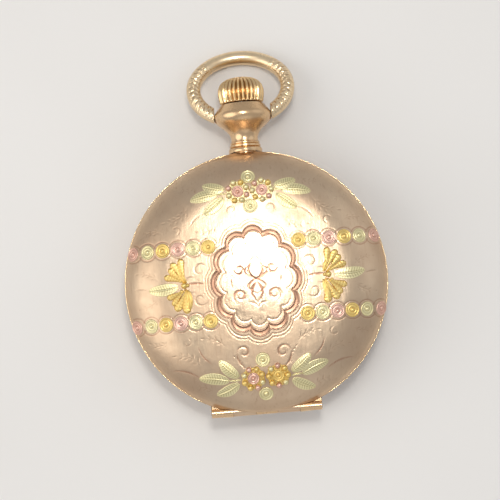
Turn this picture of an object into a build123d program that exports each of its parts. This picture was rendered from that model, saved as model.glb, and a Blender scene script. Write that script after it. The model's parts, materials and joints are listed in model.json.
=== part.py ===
"""Hunter-cased fob watch, stem wound, as an assembly of separate pieces.

Frame, in millimetres: +Z out of the front cover, +Y towards the pendant and crown, origin at the centre of
the back cover's flat table, where the watch rests. The dial stands a quarter turn round, with 3 at the crown.
"""

import math
import os

from build123d import *

OUT = "parts"
os.makedirs(OUT, exist_ok=True)

# ---------------------------------------------------------------- case
THICKNESS = 13.6  # back table to the top of the front cover
MID_Z = 6.8  # height of the pendant and stem axis
BACK_SEAM = 4.9  # back cover meets the case centre
FRONT_SEAM = 8.7  # front cover meets the case centre
SEAM_GAP = 0.05
BAND_R = 20.9
COVER_R = 20.85
SHELL = 0.5  # cover sheet thickness
SHOULDER_R = 14.0  # where a cover's dome turns into its shoulder
CROWN_DROP = 0.75  # fall of the front dome from its centre to the shoulder
RIM_WALL = 0.3  # upright edge of a cover
TABLE_R = 7.0  # flat centre of the back cover
MOVEMENT_BORE_R = 17.5
LEDGE_R = 16.9  # the plate stands on this ledge from the front; screw heads grip it from the back
LEDGE_Z = (6.3, 6.7)

# ---------------------------------------------------------------- hinges
HINGE_Y = -20.2
HINGE_HALF = 8.7
KNUCKLE_R = 0.7
PIN_R = 0.3
PIN_CLEARANCE = 0.03
GUTTER_R = KNUCKLE_R + 0.08
LIP_SWEEP_R = 1.2  # room that a cover's lip needs as it swings over the barrel
MID_KNUCKLE = 1.7  # half length of the case's middle knuckle
END_KNUCKLE = 5.3  # where the case's end knuckles begin
KNUCKLE_GAP = 0.06
DUST_HINGE_Y = -18.75
DUST_HINGE_Z = 4.45
DUST_KNUCKLE_R = 0.38
DUST_PIN_R = 0.16
DUST_HINGE_HALF = 4.0

# ---------------------------------------------------------------- pendant, bow, crown
PIVOT_Y = 27.05  # the bow's pivots in the pendant
BOW_WIRE_R = 1.15
BOW_HALF_WIDTH = 7.65
BOW_HALF_HEIGHT = 6.36
BOW_CENTRE = 5.54  # oval's centre, out from the pivots
BOW_TILT = -28.35  # the bow lies down on the surface that the watch rests on
BOW_PIVOT_R = 0.45
BOW_FACE_X = 4.78
STEM_R = 0.85
CROWN_BOTTOM = 28.98
CROWN_TEETH = 30

# ---------------------------------------------------------------- movement
PLATE_R = 17.35
PLATE_Z = (6.75, 8.75)
BRIDGE_Z = (3.25, 4.55)
BRIDGE_R = 16.4
DIAL_Z = (8.75, 9.25)
DIAL_R = 16.6
CENTRE = (0.0, 0.0)
BARREL = (-6.768, 3.877)
THIRD = (4.545, 2.474)
FOURTH = (8.0, 0.0)
ESCAPE = (8.32, -3.65)
BALANCE = (4.6, -9.8)
CROWN_WHEEL = (0.0, 10.4)
COCK_FOOT_R, COCK_TIP_R = 3.0, 1.7
LEVER_REACH = 3.0  # escape wheel to pallet staff
BALANCE_WELL_R = 5.95
PIVOT_R = 0.1
PIVOT_HOLE_R = 0.14
ARBOR_R = 0.3
JEWEL_R = 0.7
HOUR_ANGLE = -124.0  # the hands' rest, counter-clockwise from +X
MINUTE_ANGLE = 132.0
SECONDS_ANGLE = -60.0
CASE_SCREWS = [(15.04, 5.47), (-15.04, -5.47)]
TRAIN_PILLARS = [(12.6, 6.6), (13.9, -4.6), (-3.0, -7.4)]
BARREL_PILLARS = [(-14.6, -2.0), (-7.0, 12.8), (3.4, 14.4)]
COCK_FOOT = (-4.0, -12.2)

written = []


def save(part, name):
    """Labels a finished piece and writes its STEP file."""
    part.label = name
    export_step(part, f"{OUT}/{name}.step")
    written.append(name)


def lerp(a, b, t):
    """The point a share t of the way from a to b."""
    return (a[0] + (b[0] - a[0]) * t, a[1] + (b[1] - a[1]) * t)


# Unit vector from the centre wheel to the barrel: the joint between the two bridges runs square to it.
TO_BARREL = (BARREL[0] / math.hypot(*BARREL), BARREL[1] / math.hypot(*BARREL))
LEVER_LENGTH = math.dist(ESCAPE, BALANCE)
PALLET = lerp(ESCAPE, BALANCE, LEVER_REACH / LEVER_LENGTH)


# ================================================================ covers
def cover_section(flat_r, crown_drop, shoulder_r):
    """Half section of a cover in (radius, height above its seam), as a sheet of even thickness."""
    height = THICKNESS - FRONT_SEAM
    with BuildLine() as section:
        if flat_r:
            Line((0, height), (flat_r, height))
            tangent = (1, 0)
            start = (flat_r, height)
        else:
            start = (0, height)
            tangent = (1, 0)
        crown = TangentArc(start, (shoulder_r, height - crown_drop), tangent=tangent)
        shoulder = TangentArc(crown @ 1, (COVER_R, SEAM_GAP + RIM_WALL), tangent=crown % 1)
        Line(shoulder @ 1, (COVER_R, SEAM_GAP))
        Line((COVER_R, SEAM_GAP), (COVER_R - SHELL - 0.05, SEAM_GAP))
        inner_rim = (COVER_R - SHELL - 0.05, SEAM_GAP + RIM_WALL - 0.1)
        Line((COVER_R - SHELL - 0.05, SEAM_GAP), inner_rim)
        inner_start = (start[0], height - SHELL)
        inner = TangentArc(inner_start, (shoulder_r - 0.05, height - crown_drop - SHELL), tangent=tangent)
        TangentArc(inner @ 1, inner_rim, tangent=inner % 1)
        if flat_r:
            Line(inner_start, (0, height - SHELL))
        Line((0, height - SHELL), (0, height))
    return section.edges()


def hinge_cylinders(spans, radius, y, z, mode=Mode.ADD):
    """One cylinder along X for each (x0, x1) span, in the part being built."""
    for x0, x1 in spans:
        with Locations(Location(((x0 + x1) / 2, y, z))):
            Cylinder(radius, x1 - x0, rotation=(0, 90, 0), mode=mode)


CASE_SPANS = [(-HINGE_HALF, -END_KNUCKLE), (-MID_KNUCKLE, MID_KNUCKLE), (END_KNUCKLE, HINGE_HALF)]
COVER_SPANS = [
    (-END_KNUCKLE + KNUCKLE_GAP, -MID_KNUCKLE - KNUCKLE_GAP),
    (MID_KNUCKLE + KNUCKLE_GAP, END_KNUCKLE - KNUCKLE_GAP),
]
GUTTER_SPANS = [(-END_KNUCKLE, -MID_KNUCKLE), (MID_KNUCKLE, END_KNUCKLE)]


def bore_along_x(half, radius, y, z):
    """Cuts a round hole along X through the part being built."""
    hinge_cylinders([(-half, half)], radius, y, z, Mode.SUBTRACT)


def cut_case_knuckle_room(y, z):
    """Clears the case's three knuckles out of a cover."""
    room = [(x0 - KNUCKLE_GAP, x1 + KNUCKLE_GAP) for x0, x1 in CASE_SPANS]
    hinge_cylinders(room, GUTTER_R, y, z, Mode.SUBTRACT)


with BuildPart() as front_cover:
    with BuildSketch(Plane.XZ):
        make_face(cover_section(0, CROWN_DROP, SHOULDER_R))
    revolve(axis=Axis.Z)
    cut_case_knuckle_room(HINGE_Y, 0)
    hinge_cylinders(COVER_SPANS, KNUCKLE_R, HINGE_Y, 0)
    bore_along_x(HINGE_HALF, PIN_R + PIN_CLEARANCE, HINGE_Y, 0)
    # The lip that the catch holds, inside the rim by the pendant.
    with BuildSketch(Plane.XY.offset(SEAM_GAP)):
        with Locations((0, 19.98)):
            Rectangle(5.0, 0.86)
    extrude(amount=0.18)
front_cover.part = front_cover.part.moved(Location((0, 0, FRONT_SEAM)))
save(front_cover.part, "front_cover")

with BuildPart() as back_cover:
    with BuildSketch(Plane.XZ):
        make_face(cover_section(TABLE_R, 0.6, SHOULDER_R))
    revolve(axis=Axis.Z)
    cut_case_knuckle_room(HINGE_Y, 0)
    hinge_cylinders(COVER_SPANS, KNUCKLE_R, HINGE_Y, 0)
    bore_along_x(HINGE_HALF, PIN_R + PIN_CLEARANCE, HINGE_Y, 0)
    # Thumb piece, to open the back with a nail.
    with BuildSketch(Plane.XY.offset(SEAM_GAP)):
        with PolarLocations(COVER_R, 1, start_angle=58):
            RectangleRounded(0.9, 3.2, 0.4)
    extrude(amount=0.3)
back_cover.part = mirror(back_cover.part, about=Plane.XY).moved(Location((0, 0, BACK_SEAM)))
save(back_cover.part, "back_cover")

DUST_FLANGE_R = 18.6
DUST_WALL_R = 17.5
with BuildPart() as dust_cover:
    with BuildSketch(Plane.XZ):
        with BuildLine():
            TangentArc((0, 1.3), (16.6, 2.4), tangent=(1, 0))
            Polyline(
                (16.6, 2.4), (DUST_WALL_R, 2.9), (DUST_WALL_R, 4.5), (DUST_FLANGE_R, 4.5),
                (DUST_FLANGE_R, 4.85), (17.15, 4.85), (17.15, 3.1), (16.5, 2.75),
            )
            TangentArc((0, 1.65), (16.5, 2.75), tangent=(1, 0))
            Line((0, 1.65), (0, 1.3))
        make_face()
    revolve(axis=Axis.Z)
    # Room for the case's two dust hinge knuckles, then the cover's own middle knuckle.
    for side in (-1, 1):
        with BuildSketch(Plane.YZ.offset(side * (DUST_HINGE_HALF + 2 * KNUCKLE_GAP))):
            with Locations((DUST_HINGE_Y, DUST_HINGE_Z)):
                Circle(DUST_KNUCKLE_R + 0.08)
        extrude(amount=-side * (DUST_HINGE_HALF - 1.5 + KNUCKLE_GAP), mode=Mode.SUBTRACT)
    hinge_cylinders([(-1.5, 1.5)], DUST_KNUCKLE_R, DUST_HINGE_Y, DUST_HINGE_Z)
    bore_along_x(DUST_HINGE_HALF, DUST_PIN_R + 0.02, DUST_HINGE_Y, DUST_HINGE_Z)
save(dust_cover.part, "dust_cover")


# ================================================================ applied trim on the front cover
# The lid's outer face is two arcs: a crown about the axis and a shoulder that runs down to the rim.
CROWN_ARC_R = (SHOULDER_R**2 + CROWN_DROP**2) / (2 * CROWN_DROP)
CROWN_ARC = (0.0, THICKNESS - CROWN_ARC_R)
SHOULDER_TURN = math.asin(SHOULDER_R / CROWN_ARC_R)  # slope where the two arcs join
SHOULDER_RUN = COVER_R - SHOULDER_R
SHOULDER_FALL = THICKNESS - CROWN_DROP - FRONT_SEAM - SEAM_GAP - RIM_WALL
SHOULDER_ARC_R = (SHOULDER_RUN**2 + SHOULDER_FALL**2) / (
    2 * (SHOULDER_FALL * math.cos(SHOULDER_TURN) - SHOULDER_RUN * math.sin(SHOULDER_TURN))
)
SHOULDER_ARC = (
    SHOULDER_R - SHOULDER_ARC_R * math.sin(SHOULDER_TURN),
    THICKNESS - CROWN_DROP - SHOULDER_ARC_R * math.cos(SHOULDER_TURN),
)


def lid_point(r, lift=0.0):
    """(radius, height) of the lid's face at radius r, raised by lift square to the face."""
    centre, arc_r = (CROWN_ARC, CROWN_ARC_R) if r <= SHOULDER_R else (SHOULDER_ARC, SHOULDER_ARC_R)
    turn = math.asin((r - centre[0]) / arc_r)
    return (centre[0] + (arc_r + lift) * math.sin(turn), centre[1] + (arc_r + lift) * math.cos(turn))


def lid_plane(x, y):
    """Plane that touches the lid's face above (x, y)."""
    r = math.hypot(x, y)
    centre, arc_r = (CROWN_ARC, CROWN_ARC_R) if r <= SHOULDER_R else (SHOULDER_ARC, SHOULDER_ARC_R)
    turn = math.asin((r - centre[0]) / arc_r)
    away = (x / r, y / r)
    return Plane(
        origin=(x, y, lid_point(r)[1]),
        z_dir=(away[0] * math.sin(turn), away[1] * math.sin(turn), math.cos(turn)),
    )


def keep_on_lid(thickness):
    """Trims the part being built to a thin layer that lies on the lid's face."""
    low, high, edge = 0.0, thickness, COVER_R - 0.05
    with BuildSketch(Plane.XZ) as layer:
        with BuildLine():
            ThreePointArc(lid_point(0, low), lid_point(7, low), lid_point(SHOULDER_R, low))
            ThreePointArc(lid_point(SHOULDER_R, low), lid_point(17.5, low), lid_point(edge, low))
            Line(lid_point(edge, low), lid_point(edge, high))
            ThreePointArc(lid_point(edge, high), lid_point(17.5, high), lid_point(SHOULDER_R, high))
            ThreePointArc(lid_point(SHOULDER_R, high), lid_point(7, high), lid_point(0, high))
            Line(lid_point(0, high), lid_point(0, low))
        make_face()
    revolve(layer.sketch, axis=Axis.Z, mode=Mode.INTERSECT)


def studs(places, radius, thickness, name):
    """Round studs, each square to the lid's face, as one piece of trim."""
    with BuildPart() as made:
        for x, y in places:
            with Locations(lid_plane(x, y)):
                Cylinder(radius, 1.4)
        keep_on_lid(thickness)
    save(made.part, name)


def leaves(places, thickness, name):
    """Pointed leaves laid on the lid, each from a root to a tip, as one piece of trim."""
    with BuildPart() as made:
        with BuildSketch(Plane.XY.offset(FRONT_SEAM)):
            for root, tip, width in places:
                length = math.dist(root, tip)
                across = (-(tip[1] - root[1]) / length * width / 2, (tip[0] - root[0]) / length * width / 2)
                middle = lerp(root, tip, 0.42)
                with BuildLine():
                    ThreePointArc(root, (middle[0] + across[0], middle[1] + across[1]), tip)
                    ThreePointArc(tip, (middle[0] - across[0], middle[1] - across[1]), root)
                make_face()
        extrude(amount=6)
        keep_on_lid(thickness)
    save(made.part, name)


# Two rows of rosettes run out from the cartouche on each side; the three golds repeat along them.
ROSETTE_R, ROSETTE_LIFT = 1.08, 0.3
ROSETTE_ROWS = [(5.85, 7.1, 2.4), (-5.75, 7.6, 2.34)]  # height of the row, first rosette, pitch
rosettes = {"yellow": [], "green": [], "rose": []}
for row_y, first, pitch in ROSETTE_ROWS:
    for side in (-1, 1):
        for i in range(6):
            rosettes[("yellow", "green", "rose")[i % 3]].append((side * (first + pitch * i), row_y))
rosettes["green"] += [(0.0, 16.5), (0.0, 11.8), (0.0, -12.4), (0.1, -17.7)]
for gold, places in rosettes.items():
    studs(places, ROSETTE_R, ROSETTE_LIFT, f"rosettes_{gold}")

# Two flowers above the cartouche and two below: a boss in a ring of beads.
ROSE_FLOWERS = [(-1.8, 14.2), (2.0, 14.2), (-1.7, -15.2)]
YELLOW_FLOWER = (2.2, -15.0)
studs([*ROSE_FLOWERS, YELLOW_FLOWER], 0.85, 0.38, "flower_bosses")
beads = []
for flower in [*ROSE_FLOWERS, YELLOW_FLOWER]:
    for i in range(6):
        turn = math.radians(60 * i + (30 if flower[0] < 0 else 0))
        beads.append((flower[0] + 1.38 * math.cos(turn), flower[1] + 1.38 * math.sin(turn)))
studs(beads, 0.46, 0.3, "flower_beads")

GREEN_LEAVES = [
    ((-3.8, 14.5), (-7.3, 15.6), 1.4), ((-3.8, 14.1), (-9.1, 13.5), 1.7), ((-4.0, 13.5), (-7.4, 11.0), 1.4),
    ((4.0, 14.5), (7.4, 15.5), 1.4), ((4.2, 14.1), (9.5, 13.6), 1.7), ((4.1, 13.5), (7.3, 11.0), 1.4),
    ((-3.8, -15.0), (-6.6, -12.2), 1.4), ((-4.0, -15.3), (-10.0, -14.7), 1.7),
    ((-3.9, -15.7), (-7.3, -17.5), 1.4),
    ((4.3, -14.6), (7.3, -12.1), 1.4), ((4.5, -15.0), (10.0, -13.4), 1.7), ((4.3, -15.5), (7.6, -17.4), 1.4),
    ((-12.8, 0.0), (-16.8, -0.3), 1.5), ((12.8, 0.0), (17.0, 0.4), 1.5),
]
leaves(GREEN_LEAVES, 0.22, "leaves_green")
YELLOW_LEAVES = [
    ((-11.2, 0.7), (-13.2, 4.3), 1.4), ((-11.4, 0.7), (-15.0, 2.8), 1.3), ((-11.2, -0.7), (-12.6, -4.4), 1.5),
    ((-11.4, -0.7), (-14.8, -2.7), 1.3), ((10.9, 0.7), (13.4, 4.3), 1.5), ((11.2, 0.7), (14.9, 2.6), 1.3),
    ((10.9, -0.7), (12.4, -4.3), 1.4), ((11.2, -0.7), (14.8, -2.8), 1.4),
]
leaves(YELLOW_LEAVES, 0.22, "leaves_yellow")

# Cartouche: a twelve-lobed frame round a plain field.
CARTOUCHE_LOBES = 12


def lobed(half_x, half_y, scallop):
    """Lobed oval on the sketch being built: an arc bulges out between each pair of cusps."""
    cusps = []
    for i in range(CARTOUCHE_LOBES):
        turn = 2 * math.pi * (i + 0.5) / CARTOUCHE_LOBES
        cusps.append((half_x * math.cos(turn), half_y * math.sin(turn)))
    with BuildLine() as outline:
        for a, b in zip(cusps, cusps[1:] + cusps[:1]):
            middle = lerp(a, b, 0.5)
            reach = math.hypot(*middle)
            ThreePointArc(a, (middle[0] * (1 + scallop / reach), middle[1] * (1 + scallop / reach)), b)
    return outline.edges()


with BuildPart() as cartouche_frame:
    with BuildSketch(Plane.XY.offset(FRONT_SEAM)):
        make_face(lobed(6.25, 7.9, 1.05))
        make_face(lobed(5.5, 6.85, 1.0), mode=Mode.SUBTRACT)
    extrude(amount=6)
    keep_on_lid(0.16)
save(cartouche_frame.part, "cartouche_frame")


# ================================================================ case centre
CHANNEL = (18.75, 20.0)  # round channel for the two case springs
BOLSTER_Y = (-20.75, -18.0)  # flat block that carries the hinges
SPIGOT_R = 1.7
SPIGOT_CLEARANCE = 0.001

with BuildPart() as case_centre:
    with BuildSketch(Plane.XZ):
        with BuildLine():
            Polyline(
                (MOVEMENT_BORE_R, BACK_SEAM), (19.2, BACK_SEAM), (19.2, 5.9), (20.1, 5.9), (20.1, BACK_SEAM),
                (BAND_R - 0.15, BACK_SEAM), (BAND_R, BACK_SEAM + 0.15), (BAND_R, FRONT_SEAM - 0.15),
                (BAND_R - 0.15, FRONT_SEAM), (CHANNEL[1], FRONT_SEAM), (CHANNEL[1], 7.1), (CHANNEL[0], 7.1),
                (CHANNEL[0], FRONT_SEAM), (18.0, FRONT_SEAM), (18.0, 9.45), (MOVEMENT_BORE_R, 9.45),
                (MOVEMENT_BORE_R, LEDGE_Z[1]), (LEDGE_R, LEDGE_Z[1]), (LEDGE_R, LEDGE_Z[0]),
                (MOVEMENT_BORE_R, LEDGE_Z[0]), close=True,
            )
        make_face()
    revolve(axis=Axis.Z)
    with BuildSketch(Plane.XY.offset(BACK_SEAM)):
        with Locations((0, sum(BOLSTER_Y) / 2)):
            Rectangle(2 * HINGE_HALF, BOLSTER_Y[1] - BOLSTER_Y[0])
        Circle(18.8, mode=Mode.SUBTRACT)
    extrude(amount=FRONT_SEAM - BACK_SEAM)
    for seam, away in ((FRONT_SEAM, 1), (BACK_SEAM, -1)):
        # Quarter-round relief outside the barrel, and full gutters round the cover's knuckles.
        with BuildSketch(Plane.YZ):
            with Locations((HINGE_Y, seam)):
                Circle(LIP_SWEEP_R)
            with Locations((HINGE_Y + 2, seam)):
                Rectangle(4, 4, mode=Mode.SUBTRACT)
        extrude(amount=HINGE_HALF + 0.1, both=True, mode=Mode.SUBTRACT)
        for x0, x1 in GUTTER_SPANS:
            with BuildSketch(Plane.YZ.offset(x0)):
                with Locations((HINGE_Y, seam)):
                    Circle(GUTTER_R)
            extrude(amount=x1 - x0, mode=Mode.SUBTRACT)
        hinge_cylinders(CASE_SPANS, KNUCKLE_R, HINGE_Y, seam)
        bore_along_x(HINGE_HALF, PIN_R, HINGE_Y, seam)
    # Dust cover hinge: two knuckles on a small foot under the back face.
    for side in (-1, 1):
        with BuildSketch(Plane.YZ.offset(side * DUST_HINGE_HALF)):
            with Locations((DUST_HINGE_Y, DUST_HINGE_Z)):
                Circle(DUST_KNUCKLE_R)
            with Locations((DUST_HINGE_Y, (DUST_HINGE_Z + BACK_SEAM + 0.1) / 2)):
                Rectangle(0.5, BACK_SEAM + 0.1 - DUST_HINGE_Z)
        extrude(amount=-side * (DUST_HINGE_HALF - 1.5 - KNUCKLE_GAP))
    bore_along_x(DUST_HINGE_HALF, DUST_PIN_R, DUST_HINGE_Y, DUST_HINGE_Z)
    # Hole for the pendant's spigot and, inside it, the stem.
    with BuildSketch(Plane.XZ.offset(-21.5)):
        with Locations((0, MID_Z)):
            Circle(SPIGOT_R)
    extrude(amount=1.9, mode=Mode.SUBTRACT)
    with BuildSketch(Plane.XZ.offset(-20.0)):
        with Locations((0, MID_Z)):
            Circle(1.2)
    extrude(amount=3.5, mode=Mode.SUBTRACT)
save(case_centre.part, "case_centre")


def hinge_pin(name, radius, half, y, z):
    """A plain pin along X."""
    with BuildPart() as pin:
        with BuildSketch(Plane.YZ):
            with Locations((y, z)):
                Circle(radius)
        extrude(amount=half, both=True)
    save(pin.part, name)


hinge_pin("front_hinge_pin", PIN_R, HINGE_HALF, HINGE_Y, FRONT_SEAM)
hinge_pin("back_hinge_pin", PIN_R, HINGE_HALF, HINGE_Y, BACK_SEAM)
hinge_pin("dust_hinge_pin", DUST_PIN_R, DUST_HINGE_HALF, DUST_HINGE_Y, DUST_HINGE_Z)


# ================================================================ bezel and crystal
with BuildPart() as bezel:
    with BuildSketch(Plane.XZ):
        with BuildLine():
            Polyline(
                (18.03, 8.75), (18.65, 8.75), (18.65, 9.6), (17.6, 10.7), (16.0, 10.95), (16.0, 10.55),
                (16.3, 10.55), (16.3, 10.05), (15.6, 10.05), (15.6, 9.6), (18.03, 9.6), close=True,
            )
        make_face()
    revolve(axis=Axis.Z)
save(bezel.part, "bezel")

with BuildPart() as crystal:
    with BuildSketch(Plane.XZ):
        with BuildLine():
            TangentArc((0, 11.8), (15.9, 10.5), tangent=(1, 0))
            Polyline((15.9, 10.5), (16.25, 10.5), (16.25, 10.1), (15.5, 10.1))
            TangentArc((0, 11.3), (15.5, 10.1), tangent=(1, 0))
            Line((0, 11.3), (0, 11.8))
        make_face()
    revolve(axis=Axis.Z)
save(crystal.part, "crystal")


# ================================================================ case springs
def ring_arc(inner, outer, start, sweep, z0, height):
    """Part of a flat ring, from start through sweep degrees, in the part being built."""
    with BuildSketch(Plane.XY.offset(z0)) as strip:
        with BuildLine():
            CenterArc((0, 0), (inner + outer) / 2, start, sweep)
        trace(line_width=outer - inner)
    extrude(strip.sketch, amount=height)


with BuildPart() as case_springs:
    # The catch spring lies to one side of the pendant, the lift spring runs round towards the hinge.
    ring_arc(18.95, 19.35, 97.5, 62, 7.2, 1.3)
    ring_arc(18.95, 19.35, 168, 74, 7.2, 1.3)
    with BuildSketch(Plane.XY.offset(8.45)):
        with PolarLocations(19.2, 1, start_angle=239):
            Rectangle(0.5, 1.6)
    extrude(amount=0.7)
save(case_springs.part, "case_springs")

with BuildPart() as lid_catch:
    with Locations((0, 19.35, 8.65)):
        Box(4.4, 0.3, 1.0)
    with Locations((0, 19.55, 9.065)):
        Box(4.4, 0.7, 0.17)
save(lid_catch.part, "lid_catch")


# ================================================================ pendant, bow, crown and stem
SADDLE_R = 21.12
with BuildPart() as pendant:
    with BuildSketch(Plane.XY):
        with BuildLine():
            Polyline((1.6, 20.2), (2.55, 20.2), (2.7, 21.35))
            Spline((2.7, 21.35), (2.62, 21.65), (2.3, 21.8))
            Polyline((2.3, 21.8), (2.48, 21.95), (2.48, 22.2), (2.25, 22.35))
            Polyline((2.25, 22.35), (2.36, 22.5), (2.36, 22.65), (2.18, 22.8))
            Spline(
                (2.18, 22.8), (2.2, 23.6), (2.75, 24.6), (3.9, 25.6),
                (4.55, 26.4), (4.66, 27.05), (4.4, 27.65),
            )
            Polyline((4.4, 27.65), (3.55, 28.8), (1.6, 28.8), (1.6, 20.2))
        make_face()
    revolve(axis=Axis.Y)
    pendant.part.position = (0, 0, MID_Z)
    with BuildSketch(Plane.XY):
        Circle(SADDLE_R)
    extrude(amount=THICKNESS, mode=Mode.SUBTRACT)
    with BuildSketch(Plane.XZ.offset(-19.7)):
        with Locations((0, MID_Z)):
            Circle(SPIGOT_R - SPIGOT_CLEARANCE)
            Circle(1.2, mode=Mode.SUBTRACT)
    extrude(amount=-2.4)
    for side in (-1, 1):
        with BuildSketch(Plane.YZ.offset(side * 5.2)):
            with Locations((PIVOT_Y, MID_Z)):
                Circle(BOW_PIVOT_R + 0.05)
        extrude(amount=-side * 2.3, mode=Mode.SUBTRACT)
save(pendant.part, "pendant")

with BuildPart() as pendant_sleeve:
    with BuildSketch(Plane.XZ.offset(-22.2)):
        with Locations((0, MID_Z)):
            Circle(1.6)
            Circle(STEM_R + 0.08, mode=Mode.SUBTRACT)
    extrude(amount=-6.2)
save(pendant_sleeve.part, "pendant_sleeve")

BOW_END = -0.88  # sine of the oval's end angle
with BuildPart() as bow:
    end = math.degrees(math.asin(BOW_END))
    with BuildLine():
        oval = EllipticalCenterArc(
            (0, BOW_CENTRE), BOW_HALF_WIDTH, BOW_HALF_HEIGHT, start_angle=end, arc_size=180 - 2 * end
        )
    with BuildSketch(Plane(origin=oval @ 0, z_dir=oval % 0)):
        Circle(BOW_WIRE_R)
    sweep(path=oval)
    # The wire's ends are faced off beside the pendant, and a short pin stands out of each.
    for side in (-1, 1):
        with BuildSketch(Plane.YZ.offset(side * BOW_FACE_X)):
            Rectangle(6, 6)
        extrude(amount=-side * 4, mode=Mode.SUBTRACT)
        with BuildSketch(Plane.YZ.offset(side * 5.6)):
            Circle(BOW_PIVOT_R)
        extrude(amount=-side * 2.5)
bow.part = bow.part.rotate(Axis.X, BOW_TILT).moved(Location((0, PIVOT_Y, MID_Z)))
save(bow.part, "bow")


def fluted(radius, depth, teeth):
    """Points of a round fluted outline: each flute has a crest and a root."""
    points = []
    for i in range(teeth):
        for part, r in ((0.0, radius - depth), (0.25, radius), (0.5, radius), (0.75, radius - depth)):
            a = 2 * math.pi * (i + part) / teeth
            points.append((r * math.cos(a), r * math.sin(a)))
    return points


with BuildPart() as crown:
    # A fluted bar, trimmed to an onion shape by a revolved profile.
    with BuildSketch(Plane.XZ.offset(-CROWN_BOTTOM)):
        with Locations((0, MID_Z)):
            Polygon(*fluted(3.9, 0.42, CROWN_TEETH), align=None)
    extrude(amount=-4.3)
    with BuildSketch(Plane.XY.offset(MID_Z)):
        with BuildLine():
            Spline((3.35, CROWN_BOTTOM), (3.62, 29.9), (3.72, 30.9), (3.5, 32.0), (2.7, 32.85), (1.5, 33.2))
            Polyline((1.5, 33.2), (0, 33.28), (0, CROWN_BOTTOM - 0.1))
            Polyline((0, CROWN_BOTTOM - 0.1), (3.35, CROWN_BOTTOM - 0.1), (3.35, CROWN_BOTTOM))
        make_face()
    revolve(axis=Axis((0, 0, MID_Z), (0, 1, 0)), mode=Mode.INTERSECT)
    with BuildSketch(Plane.XZ.offset(-CROWN_BOTTOM)):
        with Locations((0, MID_Z)):
            Circle(2.7)
    extrude(amount=-1.0, mode=Mode.SUBTRACT)
    with BuildSketch(Plane.XZ.offset(-CROWN_BOTTOM)):
        with Locations((0, MID_Z)):
            Circle(STEM_R)
    extrude(amount=-2.6, mode=Mode.SUBTRACT)
save(crown.part, "crown")

SQUARE = 1.0
with BuildPart() as stem:
    with BuildSketch(Plane.XZ.offset(-16.9)):
        with Locations((0, MID_Z)):
            Circle(STEM_R)
    extrude(amount=-(CROWN_BOTTOM + 2.6 - 16.9))
    with BuildSketch(Plane.XZ.offset(-14.6)):
        with Locations((0, MID_Z)):
            Rectangle(SQUARE, SQUARE)
    extrude(amount=-2.5)
save(stem.part, "stem")


# ================================================================ toothed parts
def tooth_points(teeth, module, thickness=0.44, addendum=0.95, dedendum=1.15, phase=0.0):
    """Outline of a spur wheel with tapered teeth, centred on the origin, its first tooth at phase degrees."""
    pitch_r = teeth * module / 2
    step = 2 * math.pi / teeth
    stations = (
        (-0.62 * thickness, pitch_r - dedendum * module),
        (-0.5 * thickness, pitch_r),
        (-0.2 * thickness, pitch_r + addendum * module),
        (0.2 * thickness, pitch_r + addendum * module),
        (0.5 * thickness, pitch_r),
        (0.62 * thickness, pitch_r - dedendum * module),
    )
    points = []
    for i in range(teeth):
        for turn, r in stations:
            a = math.radians(phase) + (i + turn) * step
            points.append((r * math.cos(a), r * math.sin(a)))
    return points


def mesh_phase(teeth, centre, other, other_teeth, other_phase):
    """First-tooth angle that puts a gap of this wheel on the line of centres, where the other has a tooth."""
    away = math.degrees(math.atan2(other[1] - centre[1], other[0] - centre[0]))
    facing = away + 180
    step, other_step = 360 / teeth, 360 / other_teeth
    offset = ((facing - other_phase) / other_step) % 1  # how far the other's teeth stand past the line
    return away + (0.5 + offset) * step


def disc(centre, radius, z0, height, mode=Mode.ADD):
    """A cylinder along Z, in the part being built."""
    with Locations((*centre, z0 + height / 2)):
        Cylinder(radius, height, mode=mode)


def toothed(centre, points, z0, height):
    """A toothed disc, in the part being built."""
    with BuildSketch(Plane.XY.offset(z0)) as outline:
        with Locations(centre):
            Polygon(*points, align=None)
    extrude(outline.sketch, amount=height)


def crossings(centre, hub, rim, arms, z0, height):
    """Cuts the openings between a wheel's arms."""
    with BuildSketch(Plane.XY.offset(z0)) as openings:
        with Locations(centre):
            Circle(rim)
            Circle(hub, mode=Mode.SUBTRACT)
            with PolarLocations(rim / 2, arms):
                Rectangle(rim + 1, 0.42, mode=Mode.SUBTRACT)
    extrude(openings.sketch, amount=height, mode=Mode.SUBTRACT)


def arbor(centre, low, high, low_pivot, high_pivot):
    """A staff between plate and bridge with a thin pivot at each end."""
    disc(centre, ARBOR_R, low, high - low)
    disc(centre, PIVOT_R, low - low_pivot, high - low + low_pivot + high_pivot)


BARREL_TEETH, BARREL_MODULE = 72, 0.1902
CENTRE_LEAVES = 10
CENTRE_TEETH, CENTRE_MODULE = 80, 0.115
THIRD_LEAVES = 10
THIRD_TEETH, THIRD_MODULE = 75, 0.1
FOURTH_LEAVES = 10
FOURTH_TEETH, FOURTH_MODULE = 70, 0.0952
ESCAPE_LEAVES = 7
LOW, HIGH = BRIDGE_Z[1] + 0.04, PLATE_Z[0] - 0.04  # a staff's shoulders, between the bridge and the plate

centre_pinion_phase = mesh_phase(CENTRE_LEAVES, CENTRE, BARREL, BARREL_TEETH, 0)
third_pinion_phase = mesh_phase(THIRD_LEAVES, THIRD, CENTRE, CENTRE_TEETH, 0)
fourth_pinion_phase = mesh_phase(FOURTH_LEAVES, FOURTH, THIRD, THIRD_TEETH, 0)
escape_pinion_phase = mesh_phase(ESCAPE_LEAVES, ESCAPE, FOURTH, FOURTH_TEETH, 0)

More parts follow.
